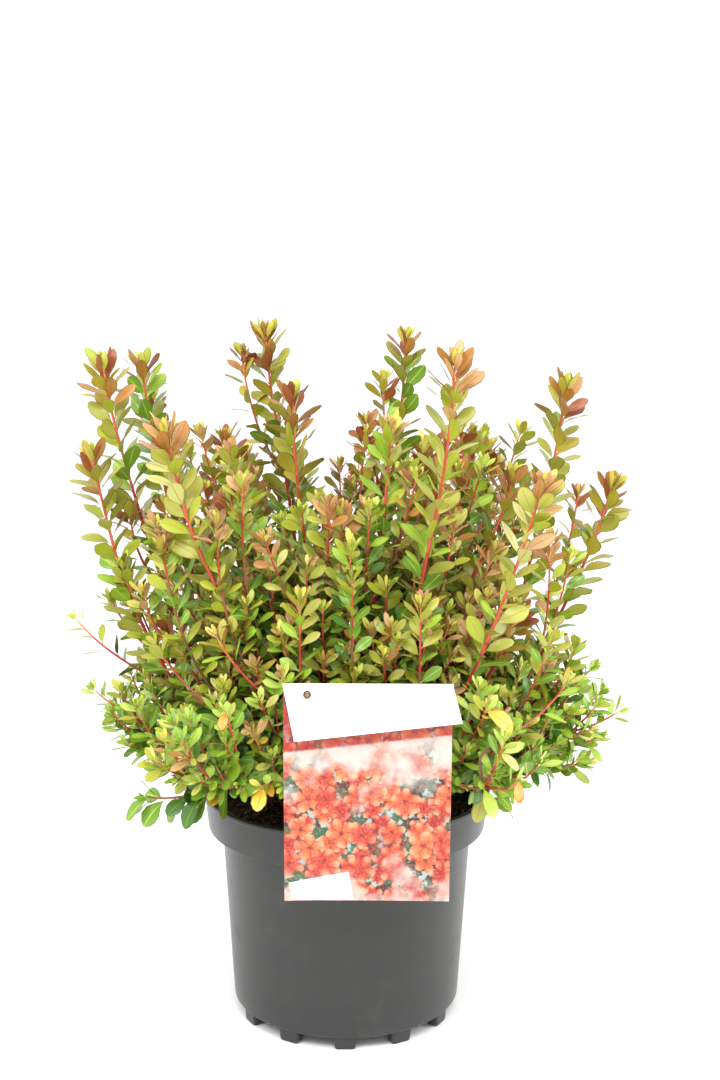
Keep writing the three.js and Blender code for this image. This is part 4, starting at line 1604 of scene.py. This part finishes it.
    def _age_leaves(self, leaves: dict[str, Points]) -> None:
        """Turns the leaves nearest to some places old.

        Args:
            leaves: The measures of all leaves.
        """
        for place, tone, size in self.old_leaves:
            length = size * MM
            inside = np.where(np.isin(leaves["kind"], (Part.DOME.value, Part.RIM.value)), 0.0, 1.0)
            out = unit(place * LEVEL)
            away = leaves["foot"] - np.array(place) * MM + 0.3 * length * out
            nearest = int((np.linalg.norm(away, axis=1) + inside).argmin())
            way = unit(0.75 * out - 0.6 * UP + self.rng.normal(0, 0.25, 3))
            changes = {"tone": TONES.index(tone), "length": length, "width": length * 0.62, "way": way}
            changes |= {"face": across(out + 0.6 * UP, way), "kind": Part.RIM.value, "bend": 0.5}
            for name, value in changes.items():
                leaves[name][nearest] = value

    def build(self) -> None:
        """Makes the leaves, the canes and the twigs into pieces."""
        leaves = self.leaves.all()
        self._age_leaves(leaves)
        azimuth = np.degrees(np.arctan2(leaves["foot"][:, 1], leaves["foot"][:, 0]))
        side = np.floor(((azimuth + 45) % 360) / 90).astype(int)
        crown = [f"crown_foliage_{k}" for k in (1, 2, 3, 4)]
        plumes = [f"{cane}_plume" for cane in self.canes]
        plan = [
            ("cane_leaves", Part.CANES, None, plumes),
            ("upper_leaves", Part.UPPER, None, plumes),
            ("inner_leaves", Part.INNER, None, crown),
            ("dome_leaves_right", Part.DOME, 0, ["skirt_foliage_1", "skirt_foliage_2"]),
            ("dome_leaves_back", Part.DOME, 1, ["skirt_foliage_3"]),
            ("dome_leaves_left", Part.DOME, 2, ["skirt_foliage_4"]),
            ("dome_leaves_front", Part.DOME, 3, ["skirt_foliage_5", "skirt_foliage_6"]),
            ("rim_leaves", Part.RIM, None, ["skirt_foliage_5"]),
        ]
        for name, part, quarter, nodes in plan:
            chosen = (leaves["kind"] == part.value) & ((side == quarter) | (quarter is None))
            pattern = {Part.INNER: COARSE_LEAF, Part.DOME: DOME_LEAF}.get(part, FINE_LEAF)
            batch = self._leaf_batch(name, {key: rows[chosen] for key, rows in leaves.items()}, pattern)
            batch.place("young_leaf" if nodes is plumes else "leaf", *nodes)
        self._build_canes()
        self._build_twigs()

    def _leaf_batch(self, name: str, leaves: dict[str, Points], pattern: LeafPattern) -> MeshBatch:
        """Draws the leaves of one piece.

        Args:
            name: The piece's name.
            leaves: The measures of its leaves.
            pattern: The grid that they are drawn on.

        Returns:
            The piece's mesh.
        """
        shapes = LeafStore.shapes(leaves, pattern)
        kept = ~no_leaf_zone(shapes, name != "rim_leaves").any(axis=(1, 2))
        shapes, tones = shapes[kept], leaves["tone"][kept]
        batch = MeshBatch(name)
        table = np.zeros((len(TONES), 3), int)
        for number in np.unique(tones):
            slots = [batch.slot_of(finish) for finish in TONES[number].value.materials()]
            table[number] = slots if pattern.fine else slots[0]
        grid = grid_faces(len(pattern.rows), len(pattern.columns))
        each = len(pattern.rows) * len(pattern.columns)
        faces = grid + (np.arange(len(shapes)) * each)[:, None, None]
        batch.add(shapes, faces.reshape(-1, 4), table[tones][:, pattern.parts()].ravel())
        LOG.info("%s: %d leaves", name, len(shapes))
        return batch

    def _build_canes(self) -> None:
        """Makes the canes, swollen a little at their leaf scars, russet below and coral above."""
        batch = MeshBatch("canes")
        tones = Wood.slots(batch)
        for name, cane in self.canes.items():
            whole = lengths_along(cane)[-1]
            along = np.linspace(0, whole, int(whole / 0.0022))
            root, count = self.cane_roots[name], len(along)
            radii = np.interp(along, (0, root, whole), self.cane_radii)
            scars = 1 + 0.05 * np.sin(along / 0.0011 + whole * 900)
            radii = radii * scars * (1 + self.rng.normal(0, 0.025, count))
            radii[-1] *= 0.3
            level = (along[:-1] - root * 0.5) / (whole - root * 0.5)
            level = level + self.rng.normal(0, 0.02, count - 1)
            coral_from = 0.45 if self.cane_sprays.get(name) is Spray.BLUSHED else 0.7
            ring_tone = np.searchsorted((0.02, 0.22, coral_from, 0.97), level)
            batch.add(*tube(points_at(cane, along)[0], radii, 9), np.repeat(tones[ring_tone], 9))
        batch.place("red_shoot", *(f"{name}_cane" for name in self.canes))

    def _build_twigs(self) -> None:
        """Makes the twigs and the stems of the shoots, from brown wood out to coral tips."""
        batch = MeshBatch("twigs")
        tones = Wood.slots(batch)
        for limb in self.net.limbs:
            radii = limb.radii() * (1 + self.rng.normal(0, 0.04, len(limb.line)))
            radii[-1] *= 0.4
            along = lengths_along(limb.line)
            below = along[-1] - (along[1:] + along[:-1]) / 2
            shift = self.rng.normal(0, 0.006)
            ring_tone = 4 - np.searchsorted((0.007, 0.022, 0.040, 0.075), below + shift)
            ring_tone = np.where(limb.line[1:, 2] < 0.186 + shift, np.minimum(ring_tone, 1), ring_tone)
            batch.add(*tube(limb.line, radii, 6), np.repeat(tones[ring_tone], 6))
        batch.place("red_shoot")


# ---- old wood


@dataclass
class OldWood:
    """The stem and the boughs, with the relief of their bark.

    Attributes:
        foot: The height that the stem stands at.
        height: The stem's height.
        lean: How far its fork leans towards +X.
        radii: Its radius where it meets the compost, at its waist and at its fork.
        flare: How high its flare reaches.
        bough: The radius of a bough at its foot and at its tip.
    """

    plant: FramePlant
    foot: float = 0.1503
    height: float = 0.030
    lean: float = 0.003
    radii: Triple = (0.015, 0.009, 0.0075)
    flare: float = 0.009
    bough: Pair = (0.0044, 0.0026)

    def _relief(self, line: Points, sides: int, depth: float, seed: float) -> Points:
        """The bark's ridges and fissures along a limb.

        Args:
            line: The limb's points.
            sides: How many sides it has.
            depth: How high a ridge stands.
            seed: A number that sets one limb's bark apart from another's.

        Returns:
            How far each vertex stands out, by ring and side.
        """
        along = lengths_along(line) * 110 + seed
        spots = 2.6 * circle(sides)
        rise = [[noise.fractal(Vector((*spot, here)), 0.9, 2.1, 4) for spot in spots] for here in along]
        return depth * np.array(rise)

    def build(self) -> None:
        """Makes the stem and the boughs into one piece."""
        batch = MeshBatch("stem_and_boughs", [OldBark().material()])
        foot = np.array([0, 0, self.foot])
        fork = foot + np.array([self.lean, 0, self.height])
        line = hermite(foot, UP * self.height, fork, UP * self.height + np.array([self.lean * 2, 0, 0]), 44)
        share = np.linspace(0, 1, 44)[:, None]
        turn = np.linspace(0, 2 * math.pi, 56, endpoint=False)[None]
        wide, waist, top = self.radii
        spread = np.maximum(0, 1 - share * self.height / self.flare) ** 2 * (wide - waist)
        radii = waist + (top - waist) * share + spread * (1 + 0.3 * np.sin(3 * turn))
        radii = radii + self._relief(line, 56, 0.0007, 0.0)
        radii[-1] *= 0.25
        batch.add(*tube(line, radii, 56))
        for number, name in enumerate(self.plant.nodes("_bough_")):
            raw = self.plant.line([name], 30, False)
            line, _ = points_at(raw, np.linspace(0, lengths_along(raw)[-1], 64))
            radii = np.linspace(*self.bough, 64)[:, None] + self._relief(line, 18, 0.0004, 7.0 * number)
            radii[[0, -1]] *= 0.4
            batch.add(*tube(line, radii, 18))
        batch.place("old_bark", "stem", *self.plant.nodes("_bough_"))


# ---- pot and compost


def rounded(corners: Sequence[Triple]) -> Points:
    """A line with rounded corners.

    Args:
        corners: The radius, the height and the rounding of each corner.

    Returns:
        The points, each a radius and a height.
    """
    places = np.array([(radius, height) for radius, height, _ in corners])
    line = []
    for k, (_, _, rounding) in enumerate(corners):
        if rounding == 0 or k in (0, len(corners) - 1):
            line.append(places[k])
            continue
        before, after = places[k - 1] - places[k], places[k + 1] - places[k]
        back = places[k] + unit(before) * min(rounding, np.linalg.norm(before) * 0.49)
        on = places[k] + unit(after) * min(rounding, np.linalg.norm(after) * 0.49)
        for t in (0, 0.25, 0.5, 0.75, 1):
            line.append((1 - t) ** 2 * back + 2 * t * (1 - t) * places[k] + t**2 * on)
    return np.array(line)


def turned(profile: Points, sides: int) -> tuple[Points, Points]:
    """A shape turned about the upright axis, from points that are each a radius and a height."""
    flat = profile[:, None, :1] * circle(sides)[None]
    height = np.broadcast_to(profile[:, None, 1:], (len(profile), sides, 1))
    return np.concatenate([flat, height], -1).reshape(-1, 3), ring_faces(len(profile), sides)


@dataclass
class Pot:
    """The moulded pot: a tapering body, a rim band with a rolled lip, and a ring of feet.

    Attributes:
        rim_radius: The lip's outer radius.
        height: The lip's height.
        lip: The lip's height by itself, and how far it stands out.
        rim_width: How wide the rim is on top.
        band: The band's height, and its radius at its foot.
        body: The body's radius at its top and at its foot.
        wall: The wall's thickness.
        floor: The height of the pot's underside.
        feet: How many feet there are, how wide and how deep each is, and their outer radius.
        drains: How many drain holes there are, their radius and their distance from the axis.
    """

    rim_radius: float = 0.101
    height: float = 0.161
    lip: Pair = (0.003, 0.0008)
    rim_width: float = 0.004
    band: Pair = (0.026, 0.0976)
    body: Pair = (0.088, 0.0802)
    wall: float = 0.002
    floor: float = 0.009
    feet: tuple[int, float, float, float] = (12, 0.015, 0.008, 0.078)
    drains: tuple[int, float, float] = (6, 0.005, 0.048)
    sides: int = 192

    def _profile(self) -> Points:
        """The pot's section, from the middle of its underside over the rim to its inner floor."""
        band_height, band_foot = self.band
        step = self.height - band_height
        lip_height, overhang = self.lip
        lip_foot = self.height - lip_height
        body_top, body_foot = self.body
        inner = self.rim_radius - self.rim_width
        return rounded(
            [
                (0.0002, self.floor, 0),
                (0.060, self.floor, 0.0004),
                (body_foot, self.floor, 0.0022),
                (body_foot + 0.001, self.floor + 0.016, 0.004),
                (body_top, step, 0.0006),
                (band_foot, step, 0.0011),
                (self.rim_radius - overhang, lip_foot, 0.0004),
                (self.rim_radius, lip_foot + 0.0003, 0.0006),
                (self.rim_radius, self.height, 0.0013),
                (inner, self.height, 0.0013),
                (band_foot - self.wall, step + self.wall, 0.0012),
                (body_top - self.wall, step + self.wall, 0.0008),
                (body_foot - self.wall, self.floor + self.wall, 0.002),
                (0.0002, self.floor + self.wall, 0),
            ]
        )

    def _foot(self, azimuth: float) -> tuple[Points, Points]:
        """One foot: a block that tapers down to rounded edges.

        Args:
            azimuth: Where round the pot it stands, in radians.

        Returns:
            Its vertices and faces.
        """
        _, width, depth, outer = self.feet
        ring = circle(28)
        section = np.sign(ring) * np.abs(ring) ** (2 / 7) * np.array([depth, width]) / 2
        levels = ((self.floor + 0.001, 1.06), (0.006, 1.0), (0.0024, 0.96), (0.0009, 0.92))
        levels += ((0.0002, 0.84), (0.0, 0.7), (0.0, 0.02))
        points = np.concatenate(
            [np.concatenate([section * shrink, np.full((28, 1), height)], -1) for height, shrink in levels]
        )
        points[:, 0] += outer - depth / 2
        turn = np.array([[math.cos(azimuth), math.sin(azimuth)], [-math.sin(azimuth), math.cos(azimuth)]])
        points[:, :2] = points[:, :2] @ turn
        return points, ring_faces(len(levels), 28)[:, ::-1]

    def build(self) -> None:
        """Makes the pot and cuts its drain holes."""
        batch = MeshBatch("pot_shell", [MouldedPlastic().material()])
        batch.add(*turned(self._profile(), self.sides))
        cutter = MeshBatch("drain_cutter")
        count, radius, distance = self.drains
        for turn in np.arange(count) * 2 * math.pi / count:
            low = np.array([distance * math.cos(turn), distance * math.sin(turn), self.floor - 0.004])
            cutter.add(*bar(low, low + UP * (self.wall + 0.008), radius, 24))
        batch.place("pot_plastic", "pot", cutter=cutter)
        feet = MeshBatch("pot_feet", [MouldedPlastic().material()])
        for k in range(self.feet[0]):
            feet.add(*self._foot(-math.pi / 2 + k * 2 * math.pi / self.feet[0]))
        feet.place("pot_plastic")


@dataclass
class Compost:
    """The compost, and the crumbs, bits of bark and pale grains on it.

    Attributes:
        radius: Its radius at its surface.
        height: How high its surface lies.
        relief: How high its clods stand.
        crumbs: How many loose crumbs lie on it.
        chips: How many bits of bark.
        grains: How many pale grains.
        floor: The height that it reaches down to.
        foot_radius: Its radius there.
    """

    radius: float = 0.0962
    height: float = 0.1500
    relief: float = 0.0026
    crumbs: int = 900
    chips: int = 150
    grains: int = 40
    floor: float = 0.0115
    foot_radius: float = 0.0778

    def _surface(self, x: Points, y: Points) -> Points:
        """The height of the surface at a place."""
        spots = zip(x.ravel() * 95, y.ravel() * 95)
        rise = [noise.fractal(Vector((*spot, 2.0)), 0.8, 2.2, 5) for spot in spots]
        away = np.clip((np.hypot(x, y) - 0.016) / 0.02, 0.15, 1)
        return self.height + self.relief * 0.6 * np.array(rise).reshape(x.shape) * away

    def build(self, rng: Chance) -> None:
        """Makes the compost and what lies on it.

        Args:
            rng: The source of chance.
        """
        batch = MeshBatch("compost", [PeatyCompost().material()])
        rings, sides = 46, 150
        radii = np.linspace(0.0004, 1, rings) ** 0.9 * self.radius
        x, y = np.moveaxis(radii[:, None, None] * circle(sides), -1, 0)
        top = np.stack([x, y, self._surface(x, y)], -1)
        foot = self.foot_radius
        under = ((self.radius, 0.1378), (foot + 0.0075, 0.137), (foot, self.floor), (0.0004, self.floor))
        points = np.concatenate([top.reshape(-1, 3), turned(np.array(under), sides)[0]])
        batch.add(points, ring_faces(rings + len(under), sides))
        batch.place("compost", "root_ball")
        self._build_crumbs(rng)

    def _build_crumbs(self, rng: Chance) -> None:
        """Scatters crumbs, bits of bark and pale grains on the surface.

        Args:
            rng: The source of chance.
        """
        golden = (1 + 5**0.5) / 2
        ball = unit(np.array([(s, golden * t, 0) for s in (-1, 1) for t in (-1, 1)]))
        ball = np.concatenate([ball, ball[:, [2, 0, 1]], ball[:, [1, 2, 0]]])
        near = np.linalg.norm(ball[:, None] - ball[None], axis=2)
        threes = [list(three) for three in combinations(range(12), 3)]
        faces = [three for three in threes if near[np.ix_(three, three)].max() < 1.06]
        faces = np.array([three if np.linalg.det(ball[three]) > 0 else three[::-1] for three in faces])
        bark = PlainFinish("bark_chip", (108, 78, 54), 0.85).material()
        pale = PlainFinish("pale_grain", (196, 188, 170), 0.8).material()
        kinds = (
            (PeatyCompost().material(), self.crumbs, (0.0006, 0.0021), (1, 1, 0.7)),
            (bark, self.chips, (0.0014, 0.0036), (1, 0.45, 0.25)),
            (pale, self.grains, (0.0005, 0.0011), (1, 1, 0.9)),
        )
        batch = MeshBatch("compost_crumbs")
        for finish, count, sizes, stretch in kinds:
            slot = batch.slot_of(finish)
            distance = self.radius * 0.965 * np.sqrt(rng.random(count))
            azimuth = rng.uniform(0, 2 * math.pi, count)
            x, y = distance * np.cos(azimuth), distance * np.sin(azimuth)
            ground = self._surface(x, y)
            for k in range(count):
                size = rng.uniform(*sizes)
                lump = ball * (1 + rng.normal(0, 0.16, (12, 1))) * np.array(stretch) * size
                spin, tilt = rng.uniform(0, 6.28), rng.normal(0, 0.35)
                turning = np.array(Matrix.Rotation(spin, 3, "Z") @ Matrix.Rotation(tilt, 3, "X"))
                batch.add(lump @ turning.T + np.array([x[k], y[k], ground[k] + size * 0.3]), faces, slot)
        batch.place("compost")


# ---- label


@dataclass
class Label:
    """The folded picture label, and the twig that it hangs on.

    Attributes:
        width: Its width.
        height: Its height from the fold.
        thickness: The sheet's thickness.
        place: Where the middle of its fold hangs.
        lean: How far its foot swings back.
        fold: The fold's radius.
        flap: How far the flap drops at its left and right, how far its left end is set in and
            its right end stands out, and how far it opens.
        bow: How far the middle of its foot bows out.
        hole: The hole's radius, and its distances from the left edge and from the fold.
        sticker: The corners of the blank sticker, from the middle of the fold.
    """

    width: float = 0.105
    height: float = 0.146
    thickness: float = 0.00045
    place: Triple = (0.014, -0.130, 0.270)
    lean: float = 4.0
    fold: float = 0.0009
    flap: tuple[float, float, float, float, float] = (0.036, 0.024, 0.007, 0.006, 7.0)
    bow: float = 0.0009
    hole: Triple = (0.0025, 0.015, 0.0065)
    sticker: tuple[Pair, ...] = (
        (-0.0497, -0.1335),
        (-0.0116, -0.1262),
        (-0.0086, -0.1452),
        (-0.0478, -0.1452),
    )
    columns: int = 29

    def _hang(self, points: Points) -> Points:
        """Points from the label's own frame in their place."""
        turn = np.array(Matrix.Rotation(math.radians(self.lean), 3, "X"))
        return points.reshape(-1, 3) @ turn.T + np.array(self.place)

    def _sheet(self) -> Points:
        """The sheet's middle surface, up the picture side, over the fold and down the flap.

        Returns:
            Its points by row and column.
        """
        left_drop, right_drop, left_in, right_out, opening = self.flap
        across_it = np.linspace(-0.5, 0.5, self.columns)
        rows = []
        for z in np.linspace(-self.height, -self.fold, 40):
            bow = self.bow * (1 - (2 * across_it) ** 2) * (-z / self.height)
            rows.append(np.stack([across_it * self.width, bow, np.full(self.columns, z)], -1))
        for angle in np.linspace(0, math.pi, 9)[1:-1]:
            y, z = self.fold * math.cos(angle) - self.fold, self.fold * math.sin(angle) - self.fold
            level = np.broadcast_to((y, z), (self.columns, 2))
            rows.append(np.column_stack([across_it * self.width, level]))
        share = across_it + 0.5
        drop = left_drop + (right_drop - left_drop) * share
        tilt = math.tan(math.radians(opening))
        for t in np.linspace(0, 1, 14):
            x = across_it * self.width + t * (left_in * (1 - share) + right_out * share)
            z = -self.fold - t * (drop - self.fold)
            y = -2 * self.fold + z * tilt * (0.75 + 0.25 * t)
            rows.append(np.stack([x, y, z], -1))
        return np.array(rows)

    def build(self) -> None:
        """Makes the sheet with its print, its flap and its sticker, and the twig's end."""
        grid = self._sheet()
        facing = unit(np.cross(np.gradient(grid, axis=1), np.gradient(grid, axis=0))) * self.thickness / 2
        white = PlainFinish("label_white", (246, 246, 244), 0.35).material()
        flap_left, flap_right = self.flap[:2]
        printed = BloomPrint(
            self.place[0],
            self.place[2],
            self.place[2] - (flap_left + flap_right) / 2,
            (flap_left - flap_right) / self.width,
        ).material()
        batch = MeshBatch("label_card", [printed, white])
        points, faces = closed_sheet(grid + facing, grid - facing)
        front = (grid.shape[0] - 1) * (grid.shape[1] - 1)
        batch.add(self._hang(points), faces, (np.arange(len(faces)) >= front).astype(int))
        cutter = MeshBatch("punch")
        radius, from_left, from_top = self.hole
        hole = np.array([from_left - self.width / 2, 0, -from_top])
        vertices, faces = bar(hole + (0, 0.004, 0), hole - (0, 0.009, 0), radius, 28)
        cutter.add(self._hang(vertices), faces)
        batch.place("label_card", "label", cutter=cutter, smooth=False)
        self._build_sticker(white)
        self._build_twig()

    def _build_sticker(self, finish: Material) -> None:
        """Makes the blank sticker on the foot of the picture side.

        Args:
            finish: What it is made of.
        """
        corners = np.array(self.sticker)
        share = np.linspace(0, 1, 5)[:, None, None]
        over = np.linspace(0, 1, 9)[None, :, None]
        top = corners[0] * (1 - over) + corners[1] * over
        foot = corners[3] * (1 - over) + corners[2] * over
        flat = top * (1 - share) + foot * share
        bow = self.bow * (1 - (2 * flat[..., 0] / self.width) ** 2) * (-flat[..., 1] / self.height)
        front = np.stack([flat[..., 0], bow - 0.0004, flat[..., 1]], -1)
        points, faces = closed_sheet(front + np.array([0, 0.0002, 0]), front)
        batch = MeshBatch("label_sticker", [finish])
        batch.add(self._hang(points), faces)
        batch.place("label_card", smooth=False)

    def _build_twig(self) -> None:
        """Makes the twig through the label's hole, from the dome to its cut end."""
        low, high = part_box("label_twig")
        middle = (low + high) / 2
        radius = (high[0] - low[0]) / 2
        share = np.linspace(0, 1, 40)
        y = low[1] + share * (high[1] - low[1])
        line = np.stack([np.full(40, middle[0]), y, np.full(40, middle[2]) - 0.0004 * np.sin(share * 7)], -1)
        radii = np.full((40, 12), radius * 0.92) * (1 + 0.06 * np.sin(share * 31)[:, None])
        radii[0] *= 0.05
        radii[1] = radii[2] * 0.9
        line[1, 1] = line[0, 1] + 0.0002
        line[2, 1] = line[0, 1] + 0.0006
        batch = MeshBatch("label_twig_end", [OldBark((112, 78, 54), (176, 142, 108)).material()])
        batch.add(*tube(line, radii, 12))
        batch.place("old_bark", "label_twig")


# ---- studio


@dataclass(frozen=True)
class SoftLight:
    """A square light that hangs round the plant.

    Attributes:
        azimuth: Where it is, from the front towards +X.
        height: How high over the ground.
        distance: How far from the axis.
        size: How wide it is.
        power: Its power in watts.
    """

    azimuth: float
    height: float
    distance: float
    size: float
    power: float

    def build(self, number: int) -> None:
        """Hangs the light, turned to the middle of the plant.

        Args:
            number: Its number among the lights.
        """
        lamp = bpy.data.lights.new(f"soft_light_{number}", "AREA")
        lamp.size = self.size
        lamp.energy = self.power
        holder = bpy.data.objects.new(f"soft_light_{number}", lamp)
        turn = math.radians(self.azimuth)
        holder.location = (self.distance * math.sin(turn), -self.distance * math.cos(turn), self.height)
        aim = Vector((0, 0, 0.25)) - holder.location
        holder.rotation_euler = aim.to_track_quat("-Z", "Y").to_euler()
        bpy.context.scene.collection.objects.link(holder)


@dataclass
class Studio:
    """The camera, the lights, and a white floor under a white sky.

    Attributes:
        eye: Where the camera stands.
        pitch: How far it looks down, in radians.
        roll: How far it is turned about its own axis, in radians.
        lens: Its focal length in millimetres, on a sensor 36 mm wide.
        sky: How bright the surroundings are.
        lights: The soft lights.
    """

    eye: Triple = (0.00868, -1.0671, 0.51965)
    pitch: float = 0.169
    roll: float = 0.0044
    lens: float = 52.24
    sky: float = 1.25
    lights: tuple[SoftLight, ...] = (
        SoftLight(-46, 1.2, 1.3, 0.6, 11.5),
        SoftLight(4, 1.7, 1.2, 0.8, 19),
        SoftLight(84, 0.7, 1.4, 0.8, 11),
    )

    def build(self) -> None:
        """Makes the camera first, then the light, the sky and the floor."""
        scene = bpy.context.scene
        camera = bpy.data.cameras.new("camera")
        camera.lens = self.lens
        camera.sensor_width = 36.0
        camera.clip_start, camera.clip_end = 0.05, 50.0
        holder = bpy.data.objects.new("camera", camera)
        turn = Matrix.Rotation(math.pi / 2 - self.pitch, 4, "X") @ Matrix.Rotation(self.roll, 4, "Z")
        holder.matrix_world = Matrix.Translation(self.eye) @ turn
        scene.collection.objects.link(holder)
        scene.camera = holder
        for number, light in enumerate(self.lights, 1):
            light.build(number)
        world = bpy.data.worlds.new("white_sky")
        world.use_nodes = True
        background = world.node_tree.nodes["Background"]
        background.inputs["Color"].default_value = (1, 1, 1, 1)
        background.inputs["Strength"].default_value = self.sky
        scene.world = world
        scene.view_settings.view_transform = "Standard"
        scene.view_settings.look = "None"
        self._build_floor()

    def _build_floor(self) -> None:
        """Lays a wide white floor under the pot."""
        bench = Bench("white_floor")
        bench.set(Roughness=0.6, Base_Color=(0.95, 0.95, 0.95, 1.0), Specular_IOR_Level=0.2)
        batch = MeshBatch("floor", [bench.material])
        span = np.linspace(-6, 6, 3)
        x, y = np.meshgrid(span, span)
        batch.add(np.stack([x, y, np.zeros_like(x)], -1), grid_faces(3, 3))
        batch.build(smooth=False)


# ---- assembly


def main() -> None:
    """Makes the studio, then the plant, the pot and the label."""
    logging.basicConfig(level=logging.INFO, format="%(message)s")
    Studio().build()
    plant = FramePlant()
    Pot().build()
    Compost().build(np.random.default_rng([SEED, 3]))
    OldWood(plant).build()
    crown = Crown(plant)
    crown.grow()
    crown.build()
    Label().build()


if __name__ == "__main__":
    main()
